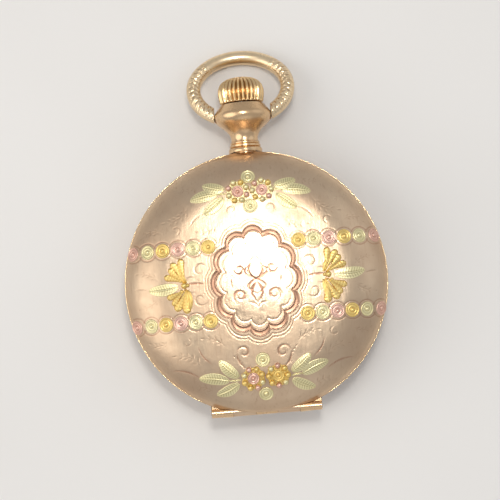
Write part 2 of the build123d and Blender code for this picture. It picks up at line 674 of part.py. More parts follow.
DRUM_R = 6.35
with BuildPart() as barrel:
    toothed(BARREL, tooth_points(BARREL_TEETH, BARREL_MODULE), 5.05, 0.4)
    disc(BARREL, DRUM_R, 5.05, 2.35)
    disc(BARREL, DRUM_R - 0.4, 5.45, 1.95, Mode.SUBTRACT)
    disc(BARREL, 0.95, 5.0, 1.0, Mode.SUBTRACT)
    disc(BARREL, DRUM_R - 0.3, 7.12, 0.28)
    disc(BARREL, 0.65, 7.1, 0.4, Mode.SUBTRACT)
save(barrel.part, "barrel")


def spiral_strip(name, centre, start_r, pitch, half_turns, thickness, z0, height):
    """A flat spiral spring of even thickness, made of half circles that join end to end."""
    with BuildPart() as spring:
        with BuildSketch(Plane(origin=(*centre, z0))):
            with BuildLine():
                x, r = 0.0, start_r
                for k in range(half_turns):
                    CenterArc((x, 0), r, 180 * (k % 2), 180)
                    x += pitch / 2 if k % 2 == 0 else -pitch / 2
                    r += pitch / 2
            trace(line_width=thickness)
        extrude(amount=height)
    save(spring.part, name)


spiral_strip("mainspring", BARREL, 1.5, 0.42, 20, 0.14, 5.5, 1.55)

with BuildPart() as barrel_arbor:
    disc(BARREL, 0.9, 3.38, 2.12)
    disc(BARREL, 1.3, 5.5, 1.5)
    disc(BARREL, 0.6, 7.0, 0.8)
    with BuildSketch(Plane.XY.offset(2.95)):
        with Locations(BARREL):
            Rectangle(1.1, 1.1)
    extrude(amount=0.43)
save(barrel_arbor.part, "barrel_arbor")

with BuildPart() as centre_wheel:
    toothed(CENTRE, tooth_points(CENTRE_TEETH, CENTRE_MODULE), 4.65, 0.2)
    crossings(CENTRE, 1.0, 3.9, 5, 4.65, 0.2)
    toothed(CENTRE, tooth_points(CENTRE_LEAVES, BARREL_MODULE, 0.36, phase=centre_pinion_phase), 4.95, 1.6)
    disc(CENTRE, 0.62, LOW, HIGH - LOW)
    disc(CENTRE, 0.2, 4.1, 0.5)
    disc(CENTRE, 0.27, 6.6, 3.6)
save(centre_wheel.part, "centre_wheel")

with BuildPart() as third_wheel:
    toothed(THIRD, tooth_points(THIRD_TEETH, THIRD_MODULE), 6.1, 0.18)
    crossings(THIRD, 0.8, 3.2, 5, 6.1, 0.18)
    toothed(THIRD, tooth_points(THIRD_LEAVES, CENTRE_MODULE, 0.36, phase=third_pinion_phase), LOW, 0.9)
    arbor(THIRD, LOW, HIGH, 0.4, 0.4)
save(third_wheel.part, "third_wheel")

with BuildPart() as fourth_wheel:
    toothed(FOURTH, tooth_points(FOURTH_TEETH, FOURTH_MODULE), 5.1, 0.18)
    crossings(FOURTH, 0.8, 2.8, 5, 5.1, 0.18)
    toothed(FOURTH, tooth_points(FOURTH_LEAVES, THIRD_MODULE, 0.36, phase=fourth_pinion_phase), 5.8, 0.8)
    arbor(FOURTH, LOW, HIGH, 0.4, 0.4)
    disc(FOURTH, 0.14, HIGH, 9.5 - HIGH)
save(fourth_wheel.part, "fourth_wheel")


def escape_points(teeth, tip_r, root_r):
    """Fifteen hooked club teeth: a slanted face, a short heel and an arc of rim."""
    stations = (
        (0.0, root_r), (0.12, tip_r - 0.12), (0.17, tip_r),
        (0.24, tip_r - 0.05), (0.22, root_r + 0.15), (0.34, root_r),
    )
    points = []
    for i in range(teeth):
        for turn, r in stations:
            a = 2 * math.pi * (i + turn) / teeth
            points.append((r * math.cos(a), r * math.sin(a)))
    return points


ESCAPE_TIP_R = 2.5
with BuildPart() as escape_wheel:
    toothed(ESCAPE, escape_points(15, ESCAPE_TIP_R, 1.85), 5.98, 0.16)
    crossings(ESCAPE, 0.6, 1.5, 4, 5.98, 0.16)
    toothed(ESCAPE, tooth_points(ESCAPE_LEAVES, FOURTH_MODULE, 0.34, phase=escape_pinion_phase), 4.8, 0.8)
    arbor(ESCAPE, LOW, HIGH, 0.4, 0.4)
save(escape_wheel.part, "escape_wheel")

# Pallet fork: an anchor across the escape wheel and a fork towards the balance roller.
LEVER_Z = 5.95
lever_plane = Plane(
    origin=(*PALLET, LEVER_Z), x_dir=(BALANCE[0] - ESCAPE[0], BALANCE[1] - ESCAPE[1], 0), z_dir=(0, 0, 1)
)
ROLLER_PIN_REACH = 0.7  # balance axis to the roller's pin
ROLLER_PIN_R = 0.13
HORN = 0.2  # how far the fork's horns stand past its notch
FORK_CLEARANCE = 0.09  # the pin passes the horns with this much room at every swing
FORK_LENGTH = LEVER_LENGTH - LEVER_REACH - ROLLER_PIN_REACH - ROLLER_PIN_R - FORK_CLEARANCE - HORN
with BuildPart() as pallet_fork:
    with BuildSketch(lever_plane):
        with Locations((FORK_LENGTH / 2, 0)):
            Rectangle(FORK_LENGTH, 0.34)
        Circle(0.5)
        with Locations((FORK_LENGTH + HORN - 0.4, 0)):
            Rectangle(0.8, 1.0)
        with Locations((FORK_LENGTH + 0.05, 0)):
            Rectangle(0.7, 0.46, mode=Mode.SUBTRACT)
        with Locations((-0.1, 0)):
            Rectangle(0.5, 3.6)
    extrude(amount=0.25)
    disc(PALLET, 0.2, 5.72, HIGH - 5.72)
    disc(PALLET, PIVOT_R, 5.4, HIGH - 5.4 + 0.35)
save(pallet_fork.part, "pallet_fork")

with BuildPart() as pallet_stones:
    for side in (-1, 1):
        with BuildSketch(lever_plane):
            with Locations((-0.52, side * 1.55)):
                Rectangle(0.3, 0.3)
        extrude(amount=0.25)
save(pallet_stones.part, "pallet_stones")

RIM_OUT, RIM_IN = 5.2, 4.65
BALANCE_SCREW_COUNT = 14
with BuildPart() as balance_wheel:
    disc(BALANCE, RIM_OUT, 4.5, 0.5)
    disc(BALANCE, RIM_IN, 4.5, 0.5, Mode.SUBTRACT)
    with BuildSketch(Plane.XY.offset(4.6)):
        with Locations(BALANCE):
            Rectangle(2 * RIM_IN + 0.4, 0.8, rotation=35)
            Circle(0.9)
            Circle(0.32, mode=Mode.SUBTRACT)
    extrude(amount=0.25)
save(balance_wheel.part, "balance_wheel")

with BuildPart() as balance_screws:
    for i in range(BALANCE_SCREW_COUNT):
        a = 2 * math.pi * (i + 0.5) / BALANCE_SCREW_COUNT
        out = (math.cos(a), math.sin(a), 0)
        place = (BALANCE[0] + RIM_OUT * out[0], BALANCE[1] + RIM_OUT * out[1], 4.75)
        with BuildSketch(Plane(origin=place, z_dir=out)):
            Circle(0.24)
        extrude(amount=0.38)
save(balance_screws.part, "balance_screws")

with BuildPart() as balance_staff:
    disc(BALANCE, 0.32, 4.05, 2.4)
    disc(BALANCE, PIVOT_R, 3.6, 3.4)
    disc(BALANCE, 1.0, 5.2, 0.25)
    with BuildSketch(Plane.XY.offset(5.45)):
        with Locations(lerp(BALANCE, ESCAPE, ROLLER_PIN_REACH / LEVER_LENGTH)):
            Circle(ROLLER_PIN_R)
    extrude(amount=0.7)
save(balance_staff.part, "balance_staff")

spiral_strip("hairspring", BALANCE, 0.5, 0.3, 16, 0.07, 4.12, 0.2)


# ================================================================ motion work, dial and hands
MOTION_MODULE = 0.125
MINUTE_POST = (2.5 * math.cos(math.radians(225)), 2.5 * math.sin(math.radians(225)))
cannon_phase = 0.0
minute_wheel_phase = mesh_phase(30, MINUTE_POST, CENTRE, 10, cannon_phase)
hour_phase = mesh_phase(32, CENTRE, MINUTE_POST, 8, 0)

with BuildPart() as cannon_pinion:
    toothed(CENTRE, tooth_points(10, MOTION_MODULE, 0.36, phase=cannon_phase), 7.92, 0.3)
    disc(CENTRE, 0.55, 7.92, 2.35)
    disc(CENTRE, 0.3, 7.9, 2.4, Mode.SUBTRACT)
save(cannon_pinion.part, "cannon_pinion")

with BuildPart() as minute_wheel:
    toothed(MINUTE_POST, tooth_points(30, MOTION_MODULE, phase=minute_wheel_phase), 7.92, 0.25)
    toothed(MINUTE_POST, tooth_points(8, MOTION_MODULE, 0.36), 8.17, 0.45)
    disc(MINUTE_POST, 0.24, 7.9, 0.8, Mode.SUBTRACT)
save(minute_wheel.part, "minute_wheel")

with BuildPart() as hour_wheel:
    toothed(CENTRE, tooth_points(32, MOTION_MODULE, phase=hour_phase), 8.34, 0.26)
    disc(CENTRE, 1.0, 8.34, 1.4)
    disc(CENTRE, 0.62, 8.3, 1.5, Mode.SUBTRACT)
save(hour_wheel.part, "hour_wheel")

with BuildPart() as dial:
    disc(CENTRE, DIAL_R, DIAL_Z[0], DIAL_Z[1] - DIAL_Z[0])
    disc(CENTRE, 1.15, DIAL_Z[0], 1, Mode.SUBTRACT)
    # The seconds track is a sunk disc, let into the dial and pierced for the fourth staff.
    disc(FOURTH, 4.1, DIAL_Z[1] - 0.2, 0.3, Mode.SUBTRACT)
    disc(FOURTH, 0.35, DIAL_Z[0], 1, Mode.SUBTRACT)
save(dial.part, "dial")


def hand(name, centre, angle, length, width, boss, bore, z0, height, tail):
    """A spade-style hand: a boss, a tapered stalk with a leaf-shaped swelling, and a short tail."""
    leaf = length * 0.66
    with BuildPart() as made:
        with BuildSketch(Plane.XY.offset(z0)):
            with Locations(Location((*centre, 0), (0, 0, angle))):
                butt = width * 0.22
                Polygon((-tail, -butt), (length, -0.05), (length, 0.05), (-tail, butt), align=None)
                with Locations((leaf, 0)):
                    Ellipse(length * 0.13, width * 0.5)
                Circle(boss)
                Circle(bore, mode=Mode.SUBTRACT)
        extrude(amount=height)
    save(made.part, name)


hand("hour_hand", CENTRE, HOUR_ANGLE, 8.4, 2.1, 1.45, 1.0, 9.52, 0.16, 0.4)
hand("minute_hand", CENTRE, MINUTE_ANGLE, 13.0, 1.6, 1.0, 0.55, 10.0, 0.16, 0.4)
hand("seconds_hand", FOURTH, SECONDS_ANGLE, 3.3, 0.5, 0.4, 0.14, 9.32, 0.1, 1.1)


# ================================================================ plate, bridges and cocks
def slotted_screws(places, head_r, head_z, head_height, shank_r, tip_z):
    """Slotted screws whose heads stand towards the back, in the part being built."""
    for place in places:
        disc(place, head_r, head_z, head_height)
        disc(place, shank_r, head_z + head_height, tip_z - head_z - head_height)
        with Locations(Location((*place, head_z), (0, 0, 40 * place[0]))):
            Box(2 * head_r, 0.22 * head_r, 0.9 * head_height, mode=Mode.SUBTRACT)


SCREW_HEAD_R, SCREW_SHANK_R = 0.85, 0.42
PINION_Y = (13.0, 14.4)  # where the winding pinion's teeth lie along the stem
PINION_ROOM_R = 2.0
CONTRATE_R = (3.05, 3.6)
CONTRATE_Z = (4.75, 5.0)  # root and tip of the crown wheel's face teeth
BRIDGE_SCREWS = [*TRAIN_PILLARS, *BARREL_PILLARS, COCK_FOOT]

with BuildPart() as main_plate:
    disc(CENTRE, PLATE_R, PLATE_Z[0], PLATE_Z[1] - PLATE_Z[0])
    disc(CENTRE, 5.2, 7.85, 1, Mode.SUBTRACT)
    disc(MINUTE_POST, 0.2, 7.8, 0.8)
    disc(BARREL, 7.3, PLATE_Z[0], 0.85, Mode.SUBTRACT)
    disc(BARREL, 0.63, 7.5, 0.35, Mode.SUBTRACT)
    for place, radius in ((CENTRE, 0.32), (FOURTH, 0.19)):
        disc(place, radius, PLATE_Z[0], 2, Mode.SUBTRACT)
    for place in (THIRD, ESCAPE, PALLET, BALANCE):
        disc(place, PIVOT_HOLE_R, PLATE_Z[0], 0.6, Mode.SUBTRACT)
    for place in [*BRIDGE_SCREWS, *CASE_SCREWS]:
        disc(place, SCREW_SHANK_R, PLATE_Z[0], 1.2, Mode.SUBTRACT)
    # Post that the crown wheel turns on, and the slot that the winding pinion and the stem lie in.
    disc(CROWN_WHEEL, 2.3, 3.45, PLATE_Z[0] - 3.45)
    disc(CROWN_WHEEL, 0.8, 2.96, 0.6)
    with BuildSketch(Plane.XZ.offset(-PINION_Y[0] + 0.15)):
        with Locations((0, MID_Z)):
            Circle(PINION_ROOM_R)
    extrude(amount=-(14.6 - PINION_Y[0] + 0.15), mode=Mode.SUBTRACT)
    with BuildSketch(Plane.XZ.offset(-14.6)):
        with Locations((0, MID_Z)):
            Circle(0.98)
    extrude(amount=-4.0, mode=Mode.SUBTRACT)
save(main_plate.part, "main_plate")


def half_disc(distance, outer):
    """The movement's disc past a line square to the barrel's direction, on the sketch being built."""
    Circle(BRIDGE_R)
    angle = math.degrees(math.atan2(TO_BARREL[1], TO_BARREL[0]))
    side = -1 if outer else 1
    centre = (TO_BARREL[0] * (distance + side * 20), TO_BARREL[1] * (distance + side * 20))
    with Locations(centre):
        Rectangle(40, 40, rotation=angle, mode=Mode.SUBTRACT)


def pillars(places):
    """Round feet between a bridge and the plate, each with a stepped hole for its screw."""
    for place in places:
        disc(place, 1.35, BRIDGE_Z[1], PLATE_Z[0] - BRIDGE_Z[1])
    for place in places:
        disc(place, SCREW_HEAD_R + 0.05, BRIDGE_Z[0], 0.45, Mode.SUBTRACT)
        disc(place, SCREW_SHANK_R + 0.03, BRIDGE_Z[0], 5, Mode.SUBTRACT)


def cock_outline(margin, mode=Mode.ADD):
    """Plan of the balance cock, wide at its foot and narrow over the staff, on the sketch being built."""
    reach = math.dist(BALANCE, COCK_FOOT)
    angle = math.degrees(math.atan2(COCK_FOOT[1] - BALANCE[1], COCK_FOOT[0] - BALANCE[0]))
    with Locations(BALANCE):
        Circle(COCK_TIP_R + margin, mode=mode)
    with Locations(COCK_FOOT):
        Circle(COCK_FOOT_R + margin, mode=mode)
    with Locations(Location((*BALANCE, 0), (0, 0, angle))):
        Polygon(
            (0, -COCK_TIP_R - margin), (reach, -COCK_FOOT_R - margin), (reach, COCK_FOOT_R + margin),
            (0, COCK_TIP_R + margin), align=None, mode=mode,
        )


with BuildPart() as train_bridge:
    with BuildSketch(Plane.XY.offset(BRIDGE_Z[0])):
        half_disc(1.35, False)
        with Locations(BALANCE):
            Circle(BALANCE_WELL_R, mode=Mode.SUBTRACT)
        cock_outline(0.2, Mode.SUBTRACT)
        with Locations(*CASE_SCREWS):
            Circle(1.25, mode=Mode.SUBTRACT)
    extrude(amount=BRIDGE_Z[1] - BRIDGE_Z[0])
    disc(CROWN_WHEEL, 4.15, BRIDGE_Z[0], 0.2, Mode.SUBTRACT)
    for place in (THIRD, FOURTH, ESCAPE):
        disc(place, JEWEL_R, BRIDGE_Z[0], 2, Mode.SUBTRACT)
    disc(CENTRE, 1.0, BRIDGE_Z[0], 2, Mode.SUBTRACT)
    pillars(TRAIN_PILLARS)
    pieces = train_bridge.part.solids().sort_by(SortBy.VOLUME)
train_bridge.part = Part([pieces[-1]])
save(train_bridge.part, "train_bridge")

with BuildPart() as barrel_bridge:
    with BuildSketch(Plane.XY.offset(BRIDGE_Z[0])):
        half_disc(1.5, True)
        with Locations(*CASE_SCREWS):
            Circle(1.25, mode=Mode.SUBTRACT)
    extrude(amount=BRIDGE_Z[1] - BRIDGE_Z[0])
    # A deeper block over the winding pinion.
    with BuildSketch(Plane.XY.offset(BRIDGE_Z[1])):
        with Locations((0, 14.4)):
            Rectangle(8.0, 5.0)
        Circle(BRIDGE_R, mode=Mode.INTERSECT)
    extrude(amount=PLATE_Z[0] - BRIDGE_Z[1])
    disc(BARREL, 6.15, BRIDGE_Z[0], 0.2, Mode.SUBTRACT)
    disc(BARREL, 0.93, BRIDGE_Z[0], 2, Mode.SUBTRACT)
    disc(CROWN_WHEEL, 4.15, BRIDGE_Z[0], 0.2, Mode.SUBTRACT)
    disc(CROWN_WHEEL, CONTRATE_R[1] + 0.12, BRIDGE_Z[0], 4, Mode.SUBTRACT)
    with BuildSketch(Plane.XZ.offset(-PINION_Y[0] + 0.15)):
        with Locations((0, MID_Z)):
            Circle(PINION_ROOM_R)
    extrude(amount=-(14.6 - PINION_Y[0] + 0.15), mode=Mode.SUBTRACT)
    with BuildSketch(Plane.XZ.offset(-14.6)):
        with Locations((0, MID_Z)):
            Circle(0.98)
    extrude(amount=-4.0, mode=Mode.SUBTRACT)
    pillars(BARREL_PILLARS)
    pieces = barrel_bridge.part.solids().sort_by(SortBy.VOLUME)
barrel_bridge.part = Part([pieces[-1]])
save(barrel_bridge.part, "barrel_bridge")

with BuildPart() as balance_cock:
    with BuildSketch(Plane.XY.offset(BRIDGE_Z[0])):
        cock_outline(0)
        Circle(BRIDGE_R, mode=Mode.INTERSECT)
    extrude(amount=0.8)
    with BuildSketch(Plane.XY.offset(BRIDGE_Z[0] + 0.8)):
        with Locations(COCK_FOOT):
            Circle(COCK_FOOT_R - 0.3)
        Circle(BRIDGE_R - 0.1, mode=Mode.INTERSECT)
        with Locations(BALANCE):
            Circle(BALANCE_WELL_R, mode=Mode.SUBTRACT)
    extrude(amount=PLATE_Z[0] - BRIDGE_Z[0] - 0.8)
    disc(BALANCE, JEWEL_R, BRIDGE_Z[0], 2, Mode.SUBTRACT)
    disc(COCK_FOOT, SCREW_HEAD_R + 0.05, BRIDGE_Z[0], 0.45, Mode.SUBTRACT)
    disc(COCK_FOOT, SCREW_SHANK_R + 0.03, BRIDGE_Z[0], 5, Mode.SUBTRACT)
save(balance_cock.part, "balance_cock")

with BuildPart() as pallet_cock:
    with BuildSketch(lever_plane.offset(-0.65)):
        with Locations((-0.6, 0)):
            Rectangle(1.2, 5.4)
        Circle(0.8)
    extrude(amount=0.35)
    with BuildSketch(lever_plane.offset(-0.3)):
        with Locations((-0.7, 2.35), (-0.7, -2.35)):
            Circle(0.34)
    extrude(amount=PLATE_Z[0] - 5.65)
    disc(PALLET, PIVOT_HOLE_R, 5.2, 1, Mode.SUBTRACT)
save(pallet_cock.part, "pallet_cock")

with BuildPart() as jewels:
    for place in (THIRD, FOURTH, ESCAPE):
        disc(place, JEWEL_R - 0.02, BRIDGE_Z[0] + 0.15, 1.1)
        disc(place, PIVOT_HOLE_R, BRIDGE_Z[0], 2, Mode.SUBTRACT)
    disc(BALANCE, JEWEL_R - 0.02, BRIDGE_Z[0] + 0.1, 0.65)
    disc(BALANCE, PIVOT_HOLE_R, BRIDGE_Z[0], 2, Mode.SUBTRACT)
    disc(CENTRE, 0.98, BRIDGE_Z[0] + 0.15, 1.1)
    disc(CENTRE, 0.24, BRIDGE_Z[0], 2, Mode.SUBTRACT)
save(jewels.part, "jewels")

with BuildPart() as bridge_screws:
    slotted_screws(BRIDGE_SCREWS, SCREW_HEAD_R, BRIDGE_Z[0] - 0.05, 0.48, SCREW_SHANK_R - 0.02, 7.9)
save(bridge_screws.part, "bridge_screws")

with BuildPart() as case_screws:
    slotted_screws(CASE_SCREWS, 1.1, LEDGE_Z[0] - 0.47, 0.45, SCREW_SHANK_R - 0.02, 7.9)
save(case_screws.part, "case_screws")

with BuildPart() as regulator:
    with BuildSketch(Plane.XY.offset(2.98)):
        with Locations(BALANCE):
            Circle(1.45)
            Circle(0.95, mode=Mode.SUBTRACT)
            with Locations(Location((0, 0), 62)):
                Polygon((1.3, -0.32), (5.0, -0.09), (5.0, 0.09), (1.3, 0.32), align=None)
                Polygon((-1.3, -0.3), (-2.6, -0.14), (-2.6, 0.14), (-1.3, 0.3), align=None)
    extrude(amount=0.24)
save(regulator.part, "regulator")


# ================================================================ winding work
RATCHET_TEETH, CROWN_WHEEL_TEETH, WIND_MODULE = 57, 37, 0.2
PINION_TEETH, CONTRATE_TEETH, PINION_MODULE = 12, 24, 0.277
ratchet_phase = mesh_phase(RATCHET_TEETH, BARREL, CROWN_WHEEL, CROWN_WHEEL_TEETH, 0)

with BuildPart() as crown_wheel:
    toothed(CROWN_WHEEL, tooth_points(CROWN_WHEEL_TEETH, WIND_MODULE), 2.95, 0.42)
    disc(CROWN_WHEEL, CONTRATE_R[1], 3.37, CONTRATE_Z[0] - 3.37)
    disc(CROWN_WHEEL, CONTRATE_R[0], 3.37, 2, Mode.SUBTRACT)
    disc(CROWN_WHEEL, 0.84, 2.9, 1, Mode.SUBTRACT)
    # Face teeth on the ring's edge mesh with the winding pinion.
    with BuildSketch(Plane.XY.offset(CONTRATE_Z[0])):
        with Locations(CROWN_WHEEL):
            with PolarLocations(sum(CONTRATE_R) / 2, CONTRATE_TEETH, start_angle=180 / CONTRATE_TEETH):
                Rectangle(CONTRATE_R[1] - CONTRATE_R[0] - 0.05, 0.4)
    extrude(amount=CONTRATE_Z[1] - CONTRATE_Z[0])
save(crown_wheel.part, "crown_wheel")

with BuildPart() as ratchet_wheel:
    toothed(BARREL, tooth_points(RATCHET_TEETH, WIND_MODULE, phase=ratchet_phase), 2.95, 0.42)
    with BuildSketch(Plane.XY.offset(2.9)):
        with Locations(BARREL):
            Rectangle(1.1, 1.1)
    extrude(amount=1, mode=Mode.SUBTRACT)
save(ratchet_wheel.part, "ratchet_wheel")

with BuildPart() as winding_pinion:
    with BuildSketch(Plane.XZ.offset(-PINION_Y[0])):
        with Locations((0, MID_Z)):
            Polygon(*tooth_points(PINION_TEETH, PINION_MODULE, 0.4), align=None)
    extrude(amount=PINION_Y[0] - PINION_Y[1])
    with BuildSketch(Plane.XZ.offset(-PINION_Y[1])):
        with Locations((0, MID_Z)):
            Circle(0.93)
    extrude(amount=-2.0)
    with BuildSketch(Plane.XZ.offset(-12.8)):
        with Locations((0, MID_Z)):
            Rectangle(SQUARE + 0.06, SQUARE + 0.06)
    extrude(amount=-4, mode=Mode.SUBTRACT)
save(winding_pinion.part, "winding_pinion")

CLICK = (-6.8, -3.4)
CLICK_SPRING_FOOT = (-11.9, -5.1)
with BuildPart() as click:
    with BuildSketch(Plane.XY.offset(2.9)):
        with Locations(CLICK):
            Circle(0.75)
            Polygon((-0.5, 0.55), (1.42, 1.4), (1.5, 1.25), (0.55, -0.5), align=None)
            Circle(0.3, mode=Mode.SUBTRACT)
    extrude(amount=0.33)
save(click.part, "click")

with BuildPart() as click_spring:
    with BuildSketch(Plane.XY.offset(2.95)):
        with BuildLine():
            ThreePointArc((-11.6, -5.2), (-9.3, -5.6), (-7.45, -4.25))
        trace(line_width=0.3)
        with Locations(CLICK_SPRING_FOOT):
            Circle(0.7)
            Circle(0.3, mode=Mode.SUBTRACT)
    extrude(amount=0.28)
save(click_spring.part, "click_spring")

with BuildPart() as winding_screws:
    slotted_screws([BARREL, CROWN_WHEEL], 1.5, 2.7, 0.24, 0.4, 2.95)
    slotted_screws([CLICK, CLICK_SPRING_FOOT], 0.55, 2.68, 0.2, 0.27, 3.24)
save(winding_screws.part, "winding_screws")

print("written", len(written), "nodes:", ", ".join(written))
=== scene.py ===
"""Looks of a hunter-cased fob watch: engraved lid with coloured-gold work, bow, crown, dial, band and back.

Lengths are in millimetres until a mesh is made. +Z comes out of the lid and +Y points to the crown.
"""

import json
import math
import random

import bpy
import numpy as np
from mathutils import Matrix, Vector, kdtree


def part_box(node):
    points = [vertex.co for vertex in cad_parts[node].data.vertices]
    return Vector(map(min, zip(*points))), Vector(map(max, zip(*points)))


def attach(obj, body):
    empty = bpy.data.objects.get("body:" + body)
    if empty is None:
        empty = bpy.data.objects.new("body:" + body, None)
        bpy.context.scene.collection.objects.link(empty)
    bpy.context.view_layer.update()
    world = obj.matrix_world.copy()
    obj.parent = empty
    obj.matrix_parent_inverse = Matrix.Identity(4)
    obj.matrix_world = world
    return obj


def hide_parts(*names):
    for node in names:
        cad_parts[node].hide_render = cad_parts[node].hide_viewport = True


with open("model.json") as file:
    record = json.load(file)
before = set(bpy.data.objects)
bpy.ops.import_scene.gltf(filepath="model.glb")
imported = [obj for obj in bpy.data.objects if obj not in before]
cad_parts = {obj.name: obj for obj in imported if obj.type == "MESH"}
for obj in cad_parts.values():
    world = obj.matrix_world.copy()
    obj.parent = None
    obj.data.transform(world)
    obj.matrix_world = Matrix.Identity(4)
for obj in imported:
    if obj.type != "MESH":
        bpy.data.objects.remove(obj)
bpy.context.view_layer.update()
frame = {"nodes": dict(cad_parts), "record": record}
NODES = frame["nodes"]
MM = 0.001
# red, the hollow, is painted shade: each gold look darkens its hollows towards its hollow colour
MARKS = "marks"  # colour attribute of a piece: red is hollow, green is polish, blue is tint

# ---------------- sizes taken over from the frame
LID_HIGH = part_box("front_cover")[1]
LID_TOP = LID_HIGH.z / MM
LID_R = LID_HIGH.x / MM
MID_Z = LID_TOP / 2
CROWN_DROP = 0.75
SHOULDER_R = 14.0
RIM_Z = 9.05
PIVOT_Y = 27.05

CROWN_ARC_R = (SHOULDER_R**2 + CROWN_DROP**2) / (2 * CROWN_DROP)
CROWN_ARC_Z = LID_TOP - CROWN_ARC_R
SHOULDER_TURN = math.asin(SHOULDER_R / CROWN_ARC_R)


def tangent_arc(start, end, normal):
    """Radius and centre of the arc from start to end that is square to normal at its start."""
    chord = np.subtract(end, start)
    radius = -chord.dot(chord) / (2 * chord.dot(normal))
    return radius, start - radius * np.array(normal)


SHOULDER_ARC_R, SHOULDER_ARC = tangent_arc(
    (SHOULDER_R, LID_TOP - CROWN_DROP), (LID_R, RIM_Z), (math.sin(SHOULDER_TURN), math.cos(SHOULDER_TURN))
)


# ---------------- materials
NOISE_HARSH = 0.55


def srgb(r, g, b):
    """Linear colour of an 8-bit screen colour."""
    return tuple(c / 255 / 12.92 if c <= 10 else ((c / 255 + 0.055) / 1.055) ** 2.4 for c in (r, g, b))


class Shader:
    """A node material that is built up step by step."""

    def __init__(self, name):
        self.material = bpy.data.materials.new(name)
        self.material.use_nodes = True
        self.tree = self.material.node_tree
        self.surface = self.tree.nodes["Principled BSDF"]
        self.where = self.add("ShaderNodeTexCoord").outputs["Object"]

    def feed(self, node, sockets):
        """Links or sets each of the given inputs."""
        for key, value in sockets.items():
            if isinstance(value, bpy.types.NodeSocket):
                self.tree.links.new(value, node.inputs[key])
            else:
                node.inputs[key].default_value = value

    def add(self, kind, sockets=None, **settings):
        node = self.tree.nodes.new(kind)
        for key, value in settings.items():
            setattr(node, key, value)
        self.feed(node, sockets or {})
        return node

    def stretched(self, scale, turn=(0, 0, 0)):
        """Coordinates scaled along each axis, after a turn in degrees."""
        sockets = {"Vector": self.where, "Rotation": [math.radians(t) for t in turn], "Scale": scale}
        return self.add("ShaderNodeMapping", sockets).outputs[0]

    def noise(self, scale, detail=3.0, at=None):
        sockets = {"Vector": at or self.where, "Scale": scale, "Detail": detail, "Roughness": NOISE_HARSH}
        return self.add("ShaderNodeTexNoise", sockets).outputs["Fac"]

    def span(self, value, low, high, to_low=0.0, to_high=1.0):
        """value moved from the range low..high to another range, and kept inside it."""
        sockets = {"Value": value, "From Min": low, "From Max": high, "To Min": to_low, "To Max": to_high}
        return self.add("ShaderNodeMapRange", sockets).outputs[0]

    def math(self, kind, a, b):
        return self.add("ShaderNodeMath", {0: a, 1: b}, operation=kind).outputs[0]

    def blend(self, factor, a, b):
        """Colour that goes from a to b as factor goes from 0 to 1."""
        a, b = ((*c, 1.0) if isinstance(c, tuple) else c for c in (a, b))
        node = self.add("ShaderNodeMix", data_type="RGBA")
        self.feed(node, {"Factor": factor, "A": a, "B": b})
        return node.outputs["Result"]

    def mark(self):
        """The hollow (where shade is painted), polish and tint that a piece's vertices carry."""
        attribute = self.add("ShaderNodeAttribute", attribute_name=MARKS)
        return self.add("ShaderNodeSeparateColor", {0: attribute.outputs["Color"]}).outputs[:3]

    def bump(self, height, depth_um):
        """Relief of the given depth, in micrometres."""
        node = self.add("ShaderNodeBump", {"Strength": 1.0, "Distance": depth_um * 1e-6, "Height": height})
        self.feed(self.surface, {"Normal": node.outputs[0]})

    def finish(self, colour, rough, metallic=1.0, **more):
        """The finished material; more holds further inputs, with _ for a space."""
        self.feed(self.surface, {"Base Color": colour, "Roughness": rough, "Metallic": metallic})
        self.feed(self.surface, {key.replace("_", " "): value for key, value in more.items()})
        return self.material


BLOTCH_SCALE = 110
DUST_SCALE = 900
ROSE_LINE = srgb(182, 130, 106)


def gold(name, colour, tarnish, hollow_shade, rough, brush, relief):
    """Gold alloy with blotches and hairlines along the brush; with a hollow colour it paints shade, with
    some patina, into the marked hollows.
    """
    s = Shader(name)
    tarnish = srgb(*tarnish)
    blotch = s.span(s.noise(BLOTCH_SCALE, 4), 0.34, 0.68)
    dust = s.noise(DUST_SCALE, 3)
    hair = s.noise(1.0, 2, at=s.stretched(brush))
    fine = s.noise(1.0, 2, at=s.stretched([3.2 * b for b in brush], turn=(0, 0, 7)))
    shade = s.blend(s.math("MULTIPLY", blotch, 0.55), srgb(*colour), tarnish)
    shade = s.blend(s.span(hair, 0.56, 0.74, 0.0, 0.35), shade, tarnish)
    wear = s.math("ADD", s.math("MULTIPLY", blotch, 0.5), dust)
    roughness = s.span(wear, 0.3, 1.1, rough - 0.05, rough + 0.12)
    if hollow_shade:
        hollow_shading, polish, tint = s.mark()
        # painted shade, with some patina: marked hollows go towards the hollow colour
        shade = s.blend(s.span(hollow_shading, 0.12, 0.85), shade, srgb(*hollow_shade))
        shade = s.blend(s.math("MULTIPLY", tint, 0.8), shade, ROSE_LINE)
        roughness = s.math("SUBTRACT", roughness, s.math("MULTIPLY", polish, 0.1))
    grain = s.math("ADD", s.math("MULTIPLY", fine, 0.35), dust)
    s.bump(s.math("ADD", s.math("MULTIPLY", hair, 0.7), grain), relief)
    return s.finish(shade, roughness)


LID_TONE = (218, 192, 161)
UP_THE_LID = (2600, 190, 2600)
ALONG_CROWN = (900, 300, 900)
EVEN = (700, 700, 700)
